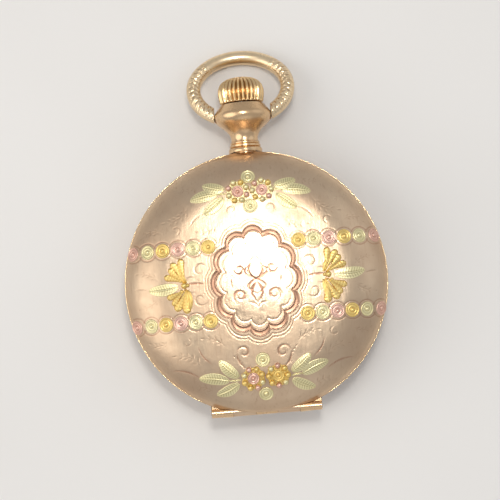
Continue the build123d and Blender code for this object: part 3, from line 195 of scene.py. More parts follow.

# look: name, colour, tarnish, hollow colour for painted shade in the hollows, roughness, brush, relief in
# micrometres
GOLDS = {
    "lid": ("satin_rose_gold_lid", LID_TONE, (182, 150, 122), (150, 104, 78), 0.31, UP_THE_LID, 20),
    "cover": ("satin_rose_gold", LID_TONE, (200, 160, 126), None, 0.3, UP_THE_LID, 9),
    "case": ("polished_case_gold", (228, 194, 152), (204, 168, 126), None, 0.22, (900, 900, 260), 4),
    "bow": ("chased_bow_gold", (244, 220, 182), (220, 188, 142), (150, 110, 72), 0.28, EVEN, 5),
    "crown": ("fluted_crown_gold", (238, 206, 156), (214, 174, 118), (152, 108, 64), 0.17, ALONG_CROWN, 4),
    "inner": ("polished_inner_gold", (236, 206, 156), (216, 182, 128), None, 0.14, EVEN, 3),
    "rose": ("rose_gold_work", (236, 196, 176), (220, 174, 152), (176, 112, 92), 0.36, EVEN, 2),
    # frame: darker rose-brown, its own tone deepened by painted shade for the border's sloping bevel
    "frame": ("rose_gold_border_with_painted_shade", (194, 158, 132), (166, 130, 106), (128, 94, 74), 0.3, EVEN, 3),
    "green": ("green_gold_work", (242, 230, 182), (228, 214, 158), (166, 146, 88), 0.36, EVEN, 2),
    "yellow": ("yellow_gold_work", (242, 214, 138), (232, 196, 112), (196, 140, 60), 0.4, EVEN, 2),
}
materials = {look: gold(*recipe) for look, recipe in GOLDS.items()}


def nickel():
    """Nickel plate with broad damascened stripes and a fine grain along them."""
    s = Shader("damascened_nickel")
    slant = (0, 0, 38)
    sockets = {"Vector": s.stretched((1, 1, 1), slant), "Scale": 150, "Distortion": 0.4, "Detail": 1.0}
    stripe = s.add("ShaderNodeTexWave", sockets, wave_type="BANDS", bands_direction="X").outputs["Fac"]
    grain = s.noise(1.0, 3, at=s.stretched((9000, 700, 2000), slant))
    cloud = s.noise(160, 3)
    shade = s.blend(stripe, srgb(186, 184, 178), srgb(222, 220, 212))
    shade = s.blend(s.span(cloud, 0.4, 0.7, 0.0, 0.35), shade, srgb(196, 186, 164))
    s.bump(s.math("ADD", s.math("MULTIPLY", stripe, 1.4), grain), 12)
    return s.finish(shade, s.span(grain, 0.3, 0.7, 0.2, 0.36))


def metal(name, bright, dull, cloud, brush, relief, rough):
    """Metal with soft clouds of a duller tone and a grain along the brush."""
    s = Shader(name)
    scale, detail, low, high = cloud
    grain = s.noise(1.0, 3, at=s.stretched(brush))
    shade = s.blend(s.span(s.noise(scale, detail), low, high), srgb(*bright), srgb(*dull))
    s.bump(grain, relief)
    return s.finish(shade, s.span(grain, 0.3, 0.7, rough, rough + 0.14))


# scale, detail and range of the clouds, brush, relief in micrometres, roughness
GILT = ((300, 3, 0.35, 0.7), (5200, 5200, 900), 8, 0.2)
HARD = ((420, 4, 0.36, 0.68), (1200, 5200, 1200), 6, 0.16)


def enamel():
    """Fired white enamel: creamy, very slightly uneven and glossy."""
    s = Shader("white_dial_enamel")
    cloud = s.noise(140, 3)
    ripple = s.noise(420, 2)
    pits = s.add("ShaderNodeTexVoronoi", {"Vector": s.where, "Scale": 2600}).outputs["Distance"]
    shade = s.blend(s.span(cloud, 0.3, 0.7), srgb(244, 240, 228), srgb(234, 228, 210))
    s.bump(s.math("ADD", ripple, s.math("MULTIPLY", pits, 0.15)), 10)
    gloss = s.span(ripple, 0.3, 0.7, 0.14, 0.26)
    return s.finish(shade, gloss, 0.0, Coat_Weight=0.6, Coat_Roughness=0.05)


def clouded(name, scale, high, bright, dull, relief, gloss, **more):
    """Fired paint or ruby, with one cloud in its tone, its relief and its roughness."""
    s = Shader(name)
    cloud = s.noise(scale, 3)
    s.bump(cloud, relief)
    shade = s.blend(s.span(cloud, 0.35, high), srgb(*bright), srgb(*dull))
    return s.finish(shade, s.span(cloud, 0.3, 0.7, *gloss), 0.0, **more)


def glass():
    """Watch crystal with faint polishing marks."""
    s = Shader("crystal_glass")
    smear = s.noise(260, 3)
    hair = s.noise(1.0, 2, at=s.stretched((4200, 500, 900), turn=(0, 0, 25)))
    s.bump(hair, 0.4)
    shade = s.blend(smear, srgb(250, 252, 250), srgb(243, 248, 246))
    return s.finish(shade, s.span(smear, 0.4, 0.8, 0.01, 0.06), 0.0, Transmission_Weight=1.0, IOR=1.5)


RUBY_BODY = {"Transmission_Weight": 0.45, "IOR": 1.76}

materials.update(
    nickel=nickel(),
    brass=metal("gilt_wheel_brass", (226, 184, 96), (196, 148, 70), *GILT),
    steel=metal("polished_steel", (206, 206, 208), (160, 160, 164), *HARD),
    blued=metal("blued_steel", (44, 62, 148), (26, 30, 86), *HARD),
    enamel=enamel(),
    paint=clouded("fired_black_paint", 1500, 0.75, (22, 21, 24), (52, 50, 52), 6, (0.28, 0.45)),
    glass=glass(),
    ruby=clouded("ruby_jewel", 1800, 0.7, (214, 36, 86), (150, 12, 48), 2, (0.06, 0.16), **RUBY_BODY),
)

SLOT_LOOKS = dict(
    case_gold="case", lid_gold="cover", inner_gold="inner", rose_gold="rose", green_gold="green",
    yellow_gold="yellow", crystal_glass="glass", dial_enamel="enamel", nickel="nickel",
    wheel_brass="brass", steel="steel", blued_steel="blued", ruby="ruby",
)
for entry in frame["record"]["subparts"]:
    shown = NODES[entry["node"]]
    shown.data.materials.clear()
    shown.data.materials.append(materials[SLOT_LOOKS[entry["material_slot"]]])


# ---------------- mesh helpers
def add_object(name, data):
    """Puts a new object into the scene."""
    item = bpy.data.objects.new(name, data)
    bpy.context.scene.collection.objects.link(item)
    return item


def around(count):
    """Angles once round a circle."""
    return np.linspace(0, 2 * np.pi, count, endpoint=False)


class Piece:
    """One visible piece, gathered from several patches of points."""

    def __init__(self, name):
        self.name = name
        self.points, self.faces, self.marks, self.looks = [], [], [], []
        self.count = 0

    def patch(self, points, marks=None, wrap=False, pole=False, look=0):
        """Adds a grid of points, rows by columns. wrap closes each row; pole makes row 0 one point."""
        rows, cols = points.shape[:2]
        flat = points.reshape(-1, 3)
        colours = np.zeros((rows * cols, 3)) if marks is None else marks.reshape(-1, 3)
        start = self.count
        index = np.arange(rows * cols).reshape(rows, cols)
        if pole:
            flat = flat[cols - 1:]
            colours = colours[cols - 1:]
            index = np.maximum(index - (cols - 1), 0)
        last = cols if wrap else cols - 1
        for i in range(rows - 1):
            for j in range(last):
                k = (j + 1) % cols
                corners = [index[i, j], index[i + 1, j], index[i + 1, k], index[i, k]]
                if pole and i == 0:
                    corners = corners[:3]
                self.faces.append([int(c) + start for c in corners])
                self.looks.append(look)
        self.points.append(flat)
        self.marks.append(colours)
        self.count += len(flat)

    def make(self, looks, body, replaces=()):
        """Builds the object, gives it its materials and says what it rides on."""
        points = np.vstack(self.points) * MM
        marks = np.vstack(self.marks)
        mesh = bpy.data.meshes.new(self.name)
        mesh.from_pydata(points.tolist(), [], self.faces)
        mesh.polygons.foreach_set("use_smooth", [True] * len(self.faces))
        mesh.polygons.foreach_set("material_index", self.looks)
        layer = mesh.color_attributes.new(MARKS, "FLOAT_COLOR", "POINT")
        layer.data.foreach_set("color", np.hstack((marks, np.ones((len(marks), 1)))).ravel())
        for look in looks:
            mesh.materials.append(materials[look])
        mesh.update()
        piece = add_object(self.name, mesh)
        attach(piece, body)
        if replaces:
            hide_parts(*replaces)


def bell(x, centre, width):
    """Smooth hump of height 1."""
    return np.exp(-(((x - centre) / width) ** 2))


def rise(x, low, high):
    """0 below low, 1 above high and smooth between."""
    t = np.clip((x - low) / (high - low), 0, 1)
    return t * t * (3 - 2 * t)


def lid_height(r):
    """Height of the lid's face at radius r."""
    crown = CROWN_ARC_Z + np.sqrt(CROWN_ARC_R**2 - np.minimum(r, SHOULDER_R) ** 2)
    reach = np.clip(r - SHOULDER_ARC[0], 0, SHOULDER_ARC_R)
    shoulder = SHOULDER_ARC[1] + np.sqrt(SHOULDER_ARC_R**2 - reach**2)
    return np.where(r <= SHOULDER_R, crown, shoulder)


def on_lid(points, lift):
    """The points of the lid's face nearest to the given ones, raised by lift square to the face."""
    x, y, z = points[..., 0], points[..., 1], points[..., 2]
    r = np.maximum(np.hypot(x, y), 1e-6)
    turn = np.arctan2(r, z - CROWN_ARC_Z)
    inner = turn <= SHOULDER_TURN
    turn = np.where(inner, turn, np.arctan2(r - SHOULDER_ARC[0], z - SHOULDER_ARC[1]))
    reach = np.where(inner, CROWN_ARC_R, SHOULDER_ARC_R) + lift
    out = np.where(inner, 0.0, SHOULDER_ARC[0]) + reach * np.sin(turn)
    up = np.where(inner, CROWN_ARC_Z, SHOULDER_ARC[1]) + reach * np.cos(turn)
    return np.stack((x / r * out, y / r * out, up), axis=-1)


def lid_spot(x, y):
    """The point of the lid's face above (x, y) and the direction square to the face there."""
    r = math.hypot(x, y)
    base = np.array((x, y, float(lid_height(np.array(r)))))
    raised = on_lid(base, 1.0)
    return base, raised - on_lid(base, 0.0)


def lid_patch(x, y, along, across, turn_to):
    """Points along turn_to and across it from (x, y), in the plane that touches the lid there."""
    base, normal = lid_spot(x, y)
    first = np.array((turn_to[0], turn_to[1], 0.0))
    first -= first.dot(normal) * normal
    first /= np.linalg.norm(first)
    second = np.cross(normal, first)
    return base + along[..., None] * first + across[..., None] * second


def lid_polar(x, y, reach, angle):
    """Points at a reach and an angle from (x, y), in the plane that touches the lid there."""
    return lid_patch(x, y, reach * np.cos(angle), reach * np.sin(angle), (1, 0))


def shades(hollow_shade, polish=None, tint=None):
    """Marks of a patch from its hollow (how much shade is painted there), polish and tint."""
    zero = np.zeros_like(hollow_shade)
    return np.stack((hollow_shade, zero if polish is None else polish, zero if tint is None else tint), axis=-1)


# ---------------- engraved strokes
class Strokes:
    """Engraved lines on the lid, kept as samples with a width, a depth and a tint.

    Every line is given for the right half; where side is -1, it is cut mirrored into the left half.
    """

    STEP = 0.06

    def __init__(self):
        self.samples = []
        self.side = 1

    def line(self, points, width=0.17, depth=0.04, taper=True, tint=0.0):
        points = np.asarray(points, float)
        lengths = np.hypot(*np.diff(points, axis=0).T)
        total = np.concatenate(([0], np.cumsum(lengths)))
        count = max(3, int(total[-1] / self.STEP))
        t = np.linspace(0, total[-1], count)
        xs, ys = np.interp(t, total, points[:, 0]), np.interp(t, total, points[:, 1])
        swell = np.sin(np.pi * np.clip(t / total[-1], 0.04, 0.96)) ** 0.5 if taper else np.ones(count)
        for x, y, s in zip(xs, ys, swell):
            self.samples.append((self.side * x, y, width * s, depth * s, tint))

    def bow(self, a, b, bulge, **kind):
        """A curved stroke from a to b that bulges to its left by the given part of its length."""
        a, b = np.array(a, float), np.array(b, float)
        t = np.linspace(0, 1, 24)[:, None]
        side = np.array((-(b - a)[1], (b - a)[0]))
        self.line(a + (b - a) * t + side * bulge * 4 * t * (1 - t), **kind)

    def curl(self, centre, r_in, r_out, from_deg, turns, **kind):
        """A spiral from its heart outwards; turns is signed."""
        t = np.linspace(0, 1, 60)
        angle = np.radians(from_deg) + 2 * np.pi * turns * t
        r = r_in + (r_out - r_in) * t**1.3
        self.line(np.stack((centre[0] + r * np.cos(angle), centre[1] + r * np.sin(angle)), axis=1), **kind)

    def sprig(self, a, b, bulge, pairs, leaf):
        """A curved stem with pairs of small leaf cuts, and one at its tip."""
        self.bow(a, b, bulge, width=0.14, depth=0.03)
        a, b = np.array(a, float), np.array(b, float)
        side = np.array((-(b - a)[1], (b - a)[0]))
        for i in range(pairs + 1):
            t = 0.25 + 0.75 * i / pairs
            at = a + (b - a) * t + side * bulge * 4 * t * (1 - t)
            ahead = (b - a) + side * bulge * 4 * (1 - 2 * t)
            heading = math.atan2(ahead[1], ahead[0])
            for turn in (0.0,) if i == pairs else (0.75, -0.75):
                size = leaf * (1.0 - 0.35 * t)
                tip = at + size * np.array((math.cos(heading + turn), math.sin(heading + turn)))
                self.bow(at, tip, 0.12 * np.sign(turn), width=0.17, depth=0.03)

    def field(self, x, y):
        """Depth, closeness and tint of the engraving at the points."""
        tree = kdtree.KDTree(len(self.samples))
        for i, sample in enumerate(self.samples):
            tree.insert((sample[0], sample[1], 0.0), i)
        tree.balance()
        kinds = np.array(self.samples)
        near = [tree.find((a, b, 0.0))[1:] for a, b in zip(x, y)]
        index = np.array([n[0] for n in near])
        gap = np.array([n[1] for n in near])
        close = np.clip(1 - gap / np.maximum(kinds[index, 2], 1e-3), 0, 1)
        return kinds[index, 3] * rise(close, 0, 1), close, kinds[index, 4] * (close > 0)


LOBES = 12
LOBE_POINTS = 24


def lobed(half_x, half_y, scallop):
    """Closed outline of round lobes that meet in cusps."""
    angle = 2 * np.pi * (np.arange(LOBES + 1) + 0.5) / LOBES
    cusps = np.stack((half_x * np.cos(angle), half_y * np.sin(angle)), axis=1)
    points = []
    for a, b in zip(cusps[:-1], cusps[1:]):
        half = np.linalg.norm(b - a) / 2
        radius = (half**2 + scallop**2) / (2 * scallop)
        middle = (a + b) / 2
        along = (b - a) / (2 * half)
        out = np.array((b - a)[::-1]) * (1, -1) / (2 * half)
        spread = math.asin(min(1.0, half / radius))
        for t in np.linspace(-spread, spread, LOBE_POINTS, endpoint=False):
            up = radius * math.cos(t) - radius + scallop
            points.append(middle + radius * math.sin(t) * along + up * out)
    return np.array(points)


ROW_COUNT = 6
# first stud, step and height of each row
ROW_STARTS = ((-7.1, -2.4, 5.85), (7.1, 2.4, 5.85), (-7.6, -2.34, -5.75), (7.6, 2.34, -5.75))
ROWS = [[(x + step * i, y) for i in range(ROW_COUNT)] for x, step, y in ROW_STARTS]
ROSETTE_R = 1.19
STUD_RING_R = 1.42
BOSS_R = 1.0
BUD_COUNT = 8
BUD_R = 0.47
BUD_RING_R = 1.5
BOSSES = [(-1.8, 14.2), (2.0, 14.2), (-1.7, -15.2), (2.2, -15.0)]
LONE_GREEN = [(0.0, 16.5), (0.0, 11.8), (0.0, -12.4), (0.1, -17.7)]
# half width, half height, scallop and line width of the lines that follow the cartouche
LOBED_LINES = ((7.0, 8.7, 0.95, 0.13), (7.45, 9.25, 0.9, 0.11), (4.85, 6.1, 1.1, 0.1))


def frame_lines(s):
    """Arcs over and under the studs, and lobed lines inside and outside the cartouche's border."""
    for row in ROWS:
        for x, y in row:
            for low, high in ((24, 156), (204, 336)):
                a = np.radians(np.linspace(low, high, 20))
                ring = np.stack((x + STUD_RING_R * np.cos(a), y + STUD_RING_R * np.sin(a)), axis=1)
                s.line(ring, width=0.13, depth=0.04, taper=False, tint=0.5)
    for half_x, half_y, scallop, width in LOBED_LINES:
        outline = lobed(half_x, half_y, scallop)
        s.line(np.vstack((outline, outline[:1])), width=width, depth=0.045, taper=False, tint=0.45)


def flourish(s):
    """Half of the flourish in the cartouche: loops and curls that meet on the middle line."""
    for y0, y1, reach in ((-3.6, 3.4, 1.3), (-2.2, 2.6, 2.1)):
        t = np.linspace(0, 1, 60)
        across = reach * np.sin(2 * np.pi * t) * (0.5 + 0.5 * t)
        s.line(np.stack((across, y0 + (y1 - y0) * t), axis=1), width=0.27, depth=0.055, tint=1.0)
    s.curl((2.7, -2.3), 0.25, 1.15, 90, -1.4, width=0.24, depth=0.055, tint=1.0)
    s.curl((2.6, 1.9), 0.2, 0.95, -90, 1.3, width=0.22, depth=0.055, tint=1.0)
    s.bow((1.5, -3.4), (0.0, -4.3), -0.2, width=0.15, tint=0.8)
    s.bow((1.6, 2.9), (0.0, 4.4), 0.2, width=0.15, tint=0.8)
    s.bow((3.7, -1.2), (3.4, 1.4), -0.16, width=0.12, tint=0.6)


def side_sprays(s):
    """Curls and sprigs round the leaves beside the cartouche."""
    s.curl((8.75, 2.3), 0.2, 1.25, 120, 1.15, width=0.2)
    s.curl((8.95, -2.2), 0.2, 1.25, -120, -1.15, width=0.2)
    s.bow((8.1, 0.1), (11.0, 0.2), 0.05, width=0.24, tint=1.0)
    s.bow((9.6, 1.2), (11.4, 0.6), 0.2, width=0.16)
    s.bow((9.6, -1.0), (11.4, -0.4), -0.2, width=0.16)
    s.sprig((15.2, 1.0), (18.4, 2.6), 0.12, 3, 0.8)
    s.sprig((15.2, -1.2), (18.4, -3.0), -0.12, 3, 0.8)
    s.bow((16.9, -0.2), (19.4, 0.1), 0.08, width=0.16)


def bouquet_sprays(s):
    """Long fine arcs, curls and sprigs that spread from the bouquets."""
    s.sprig((9.6, 12.8), (13.5, 10.2), -0.16, 4, 1.1)
    s.sprig((9.4, -13.2), (13.4, -10.8), 0.16, 4, 1.1)
    s.sprig((7.6, 15.9), (11.2, 15.6), -0.2, 3, 0.9)
    s.sprig((7.7, -17.2), (11.0, -16.1), 0.18, 3, 0.9)
    s.bow((7.6, -12.6), (9.9, -9.6), -0.12, width=0.14, tint=1.0)
    s.bow((9.9, -14.6), (14.2, -13.0), 0.1, width=0.14, tint=1.0)
    s.bow((7.2, 11.2), (9.8, 9.0), 0.14, width=0.14)
    s.curl((3.0, 11.5), 0.2, 0.95, -40, -1.1, width=0.18)
    s.curl((12.0, 8.9), 0.15, 0.8, 200, 1.2, width=0.14)
    s.curl((11.6, -8.8), 0.15, 0.8, 160, -1.2, width=0.14)
    s.sprig((5.2, 9.4), (8.6, 8.3), -0.12, 3, 0.8)
    s.sprig((5.6, -10.0), (8.9, -8.4), 0.12, 3, 0.8)
    s.sprig((14.2, 8.4), (17.4, 8.3), 0.2, 3, 0.8)
    s.sprig((14.4, -8.2), (17.2, -8.6), -0.2, 3, 0.8)


def lower_bouquet(s):
    """Two unequal scrolls over the lower bouquet, rays and a loop under it, and dotted arcs beside it."""
    for side, x, y, radius in ((-1, 2.85, -11.05, 1.1), (1, 3.3, -11.35, 1.25)):
        s.side = side
        s.curl((x, y), 0.22, radius, 72, -1.2, width=0.25, depth=0.06, tint=0.3)
        s.bow((x + radius, y), (x - 0.05, y - 2.4), 0.13, width=0.25, depth=0.06, tint=0.3)
    s.side = 1
    heart = np.array((0.0, -15.2))
    for i, a in enumerate(np.radians((212, 228, 243, 298, 312, 328))):
        ray = np.array((math.cos(a), math.sin(a)))
        s.bow(heart + 2.7 * ray, heart + (4.3 - 0.5 * (i % 2)) * ray, 0.06, width=0.12, depth=0.03)
    s.curl((-1.7, -18.6), 0.1, 0.34, 90, 1.0, width=0.1)
    for start, stop, sag in (((-4.4, -11.6), (-3.0, -13.4), 0.3), ((4.4, -13.0), (5.4, -10.6), -0.3)):
        for t in np.linspace(0, 1, 6):
            x = start[0] + (stop[0] - start[0]) * t + sag * 4 * t * (1 - t)
            y = start[1] + (stop[1] - start[1]) * t
            s.line(((x - 0.03, y), (x + 0.03, y)), width=0.16, depth=0.045, taper=False, tint=0.3)


def grain_cuts(s):
    """Loose short cuts round the bouquets and the side leaves."""
    dots = random.Random(4)
    for cx, cy in ((0.0, 13.6), (0.0, -15.0), (-12.2, 0.0), (12.2, 0.0)):
        for _ in range(34):
            a, r = dots.uniform(0, 2 * math.pi), dots.uniform(2.2, 4.4)
            x, y = cx + 1.3 * r * math.cos(a), cy + 0.7 * r * math.sin(a)
            s.line(((x, y), (x + 0.12, y + 0.05)), width=0.13, depth=0.035)


def engrave():
    """Every engraved line of the lid's face."""
    s = Strokes()
    frame_lines(s)
    for side in (-1, 1):
        s.side = side
        flourish(s)
        side_sprays(s)
        bouquet_sprays(s)
    lower_bouquet(s)
    grain_cuts(s)
    return s


# ---------------- the lid's face
SKIN_CELLS = 312
SKIN_R = LID_R - 0.25
SKIN_LIFT = 0.075
EDGE_R = 0.07


def lid_face():
    """Engraved skin that lies just above the plain lid and runs out into it near the rim."""
    side = np.linspace(-1, 1, SKIN_CELLS + 1)
    a, b = np.meshgrid(side, side, indexing="ij")
    wide = np.abs(a) > np.abs(b)
    safe_a = np.where(a == 0, 1e-9, a)
    safe_b = np.where(b == 0, 1e-9, b)
    r = np.where(wide, a, b)
    angle = np.where(wide, np.pi / 4 * b / safe_a, np.pi / 2 - np.pi / 4 * a / safe_b)
    x, y = SKIN_R * r * np.cos(angle), SKIN_R * r * np.sin(angle)
    reach = np.hypot(x, y)
    depth, close, tint = engrave().field(x.ravel(), y.ravel())
    depth, close, tint = (v.reshape(x.shape) for v in (depth, close, tint))
    lift = SKIN_LIFT - depth - 0.1 * rise(reach, SKIN_R - 0.35, SKIN_R)
    inside = np.sqrt((x / 5.6) ** 2 + (y / 7.1) ** 2)
    polish = 1 - rise(inside, 0.92, 1.05)
    points = on_lid(np.stack((x, y, lid_height(reach)), axis=-1), lift)
    piece = Piece("lid_engraving")
    # painted shade darkens the engraved cuts, more where the lines are tinted
    cut = close * np.clip(depth / 0.035, 0, 1)
    piece.patch(points, shades((0.6 + 0.3 * tint) * cut, polish, tint * close))
    piece.make(["lid"], "lid")


def lid_edge():
    """Thin rolled edge round the lid, broken at the pendant and the hinge."""
    piece = Piece("lid_edge")
    turn = np.radians(np.linspace(-80, 110, 12))[:, None]
    for start, stop in ((-61, 81), (99, 241)):
        angle = np.radians(np.linspace(start, stop, 200))[None, :]
        out = LID_R - 0.03 + EDGE_R * np.cos(turn) + 0 * angle
        z = RIM_Z - 0.02 + EDGE_R * np.sin(turn) + 0 * angle
        points = np.stack((out * np.cos(angle), out * np.sin(angle), z), axis=-1)
        piece.patch(points[::-1])
    piece.make(["inner"], "lid")


RIM_BEADS = 24


def rosette(piece, x, y, radius=ROSETTE_R, look=0):
    """Round stud: fine milled rim, dished ring and a bead in the middle."""
    q = np.concatenate((np.linspace(0, 0.9, 26), (0.93, 0.96, 0.99, 1.02)))[:, None]
    angle = around(3 * RIM_BEADS)[None, :]
    rim = bell(q, 0.84, 0.1) * (0.94 + 0.06 * np.cos(RIM_BEADS * angle))
    ring = bell(q, 0.5, 0.09)
    bead = np.sqrt(np.clip(1 - (q / 0.26) ** 2, 0, 1))
    body = 0.13 + 0.1 * rim + 0.06 * ring + 0.22 * bead
    lift = body * (1 - rise(q, 0.92, 1.02)) - 0.06 * rise(q, 0.94, 1.02) + 0 * angle
    # painted shade in the dish, round the bead and at the stud's foot
    hollow_shade = 0.34 * bell(q, 0.68, 0.09) + 0.5 * bell(q, 0.33, 0.06) + 0.5 * rise(q, 0.94, 1.0) + 0 * angle
    points = on_lid(lid_polar(x, y, q * radius, angle), lift)
    piece.patch(points, shades(hollow_shade), wrap=True, pole=True, look=look)


def flower_bed(piece, x, y, look):
    """Low ground with a lobe for each bud of a flower, and a fine bright edge."""
    q = np.concatenate((np.linspace(0, 0.9, 10), (0.94, 0.97, 1.0)))[:, None]
    angle = around(12 * BUD_COUNT)[None, :]
    phase = np.pi if x < 0 else 0.0
    reach = q * (BUD_RING_R + 0.42 + 0.12 * np.cos(BUD_COUNT * angle - phase))
    lift = (0.1 + 0.08 * bell(q, 0.9, 0.06)) * (1 - rise(q, 0.94, 1.0)) - 0.05 * rise(q, 0.95, 1.0)
    # painted shade over the ground under the buds, left off its raised edge
    hollow_shade = 0.24 - 0.24 * bell(q, 0.92, 0.06) + 0 * angle
    points = on_lid(lid_polar(x, y, reach, angle), lift + 0 * angle)
    piece.patch(points, shades(hollow_shade), wrap=True, pole=True, look=look)


def ball(piece, x, y, radius, height, look):
    """Half ball that stands on the lid."""
    q = np.sin(np.linspace(0, np.pi / 2, 9))[:, None]
    angle = around(20)[None, :]
    lift = height * 0.35 + radius * 1.15 * np.sqrt(np.clip(1 - q**2, 0, 1)) + 0 * angle
    piece.patch(on_lid(lid_polar(x, y, q * radius, angle), lift), wrap=True, pole=True, look=look)


def leaf(piece, root, tip, width, ribs, bend=0.05, height=0.17):
    """Veined leaf with a raised edge and midrib."""
    root, tip = np.array(root, float), np.array(tip, float)
    middle = (root + tip) / 2
    low, high = lid_spot(*root)[0], lid_spot(*tip)[0]
    length = np.linalg.norm(high - low)
    u = np.linspace(0, 1, 8 * ribs + 1)[:, None]
    v = np.concatenate(((-1.0, -0.98), np.linspace(-0.94, 0.94, 25), (0.98, 1.0)))[None, :]
    half = width / 2 * (np.sin(np.pi * np.clip(u, 0.006, 0.994) ** 0.9)) ** 0.5
    edge = 1 + 0.02 * np.cos(2 * np.pi * ribs * (u - 0.05))
    along = (u - 0.5) * length + 0.05 * width * (1 - v**2) * np.sin(np.pi * u)
    across = v * half * edge + bend * length * np.sin(np.pi * u)
    swell = np.sin(np.pi * np.clip(u, 0, 1)) ** 0.4
    side = np.abs(v)
    vein = np.abs(np.sin(np.pi * (ribs * u - 1.1 * side))) ** 0.6
    between = rise(side, 0.1, 0.2) * (1 - rise(side, 0.78, 0.88))
    veined = height * (1 - 0.5 * v**2) + 0.014 * (vein - 1) * between
    rims = 0.03 * bell(side, 0.88, 0.08) + 0.05 * bell(v, 0, 0.09) - 0.03 * bell(side, 0.16, 0.06)
    lift = np.where(side > 0.985, -0.06, 0.05 + swell * (veined + rims))
    # painted shade between the veins and in the groove beside the midrib
    hollow_shade = 0.8 * (1 - vein) * between + 0.6 * bell(side, 0.16, 0.05)
    points = on_lid(lid_patch(*middle, along, across, tuple(tip - root)), lift)
    piece.patch(points, shades(np.clip(hollow_shade, 0, 1) + 0 * u))


# root, tip and width
GREEN_LEAVES = (
    ((-3.9, 14.6), (-7.3, 15.7), 1.7), ((-5.0, 14.0), (-9.4, 13.4), 1.8), ((-4.1, 13.4), (-7.4, 11.0), 1.7),
    ((4.0, 14.6), (7.4, 15.6), 1.7), ((5.1, 14.0), (9.7, 13.5), 1.8), ((4.2, 13.4), (7.3, 11.0), 1.7),
    ((-4.0, -14.9), (-6.8, -12.0), 1.7), ((-5.5, -15.2), (-10.2, -14.7), 1.8),
    ((-4.1, -15.7), (-7.5, -17.6), 1.7), ((4.4, -14.6), (7.5, -12.0), 1.7),
    ((6.0, -15.0), (10.2, -13.3), 1.8), ((4.5, -15.6), (7.8, -17.5), 1.7),
    ((-12.3, 0), (-17.0, -0.3), 1.8), ((12.3, 0.1), (17.2, 0.4), 1.8),
)
STEMS = (
    ((-3.6, 14.1), (-5.2, 14.0)), ((3.8, 14.1), (5.3, 14.0)),
    ((-3.6, -15.2), (-5.7, -15.2)), ((4.2, -15.2), (6.2, -15.0)),
)
# root, heading and half spread in degrees, length, lobes
YELLOW_FANS = (
    ((-11.0, 0.4), 147, 23, 3.7, 2), ((-11.0, 0.45), 111, 22, 4.1, 2), ((-10.95, -0.3), -106, 25, 4.1, 2),
    ((-11.0, -0.4), -145, 23, 3.5, 2),
    ((10.8, 0.4), 33, 23, 3.8, 2), ((10.8, 0.45), 69, 22, 4.1, 2), ((10.7, -0.3), -74, 25, 4.2, 2),
    ((10.8, -0.4), -35, 23, 3.7, 2),
)
YELLOW_LEAVES = (
    ((-10.9, 0.5), (-12.3, 3.2), 0.8), ((-10.8, -0.6), (-10.9, -4.1), 1.1),
    ((10.6, 0.5), (11.9, 3.2), 0.8), ((10.5, -0.6), (11.0, -4.1), 1.1),
)
# place and radius of the beads at the root of the yellow leaves
ROOT_BEADS = ((11.3, 0.1, 0.5), (10.75, 0.1, 0.3), (11.8, 0.85, 0.26), (11.8, -0.75, 0.26))


def fan(piece, root, heading, spread, length, lobes):
    """Fan-shaped leaf whose lobes and ribs spread from its root."""
    u = np.concatenate((np.linspace(0.03, 0.94, 60), (0.97, 1.0)))[:, None]
    v = np.concatenate(((-1.0,), np.linspace(-0.97, 0.97, 22 * lobes), (1.0,)))[None, :]
    lobe = np.abs(np.sin(np.pi * lobes * (v + 1) / 2)) ** 0.5
    reach = length * u * (0.76 + 0.24 * lobe)
    angle = np.radians(heading + spread * v * (0.6 + 0.4 * u))
    side = np.abs((v + 1) / 2 * lobes % 1 - 0.5)
    vein = np.abs(np.sin(np.pi * (8 * u - 2.4 * side))) ** 0.7
    feather = rise(u, 0.15, 0.3) * rise(0.5 - side, 0.03, 0.12) * rise(side, 0.05, 0.1)
    edge = rise(1 - u, 0, 0.09) * rise(1 - np.abs(v), 0, 0.12)
    lift = 0.05 + edge * (0.12 + 0.1 * lobe + 0.08 * np.sin(np.pi * u)) - 0.11 * (1 - rise(1 - u, 0, 0.03))
    lift = lift + edge * (0.03 * (vein - 1) * feather + 0.03 * bell(side, 0, 0.05))
    lift = np.where(np.abs(v) > 0.985, -0.06, lift)
    # painted shade between the lobes and between the veins
    hollow_shade = 0.7 * (1 - lobe) * rise(u, 0.3, 0.5) + 0.6 * (1 - vein) * feather
    piece.patch(on_lid(lid_polar(*root, reach, angle), lift), shades(np.clip(hollow_shade, 0, 1)))


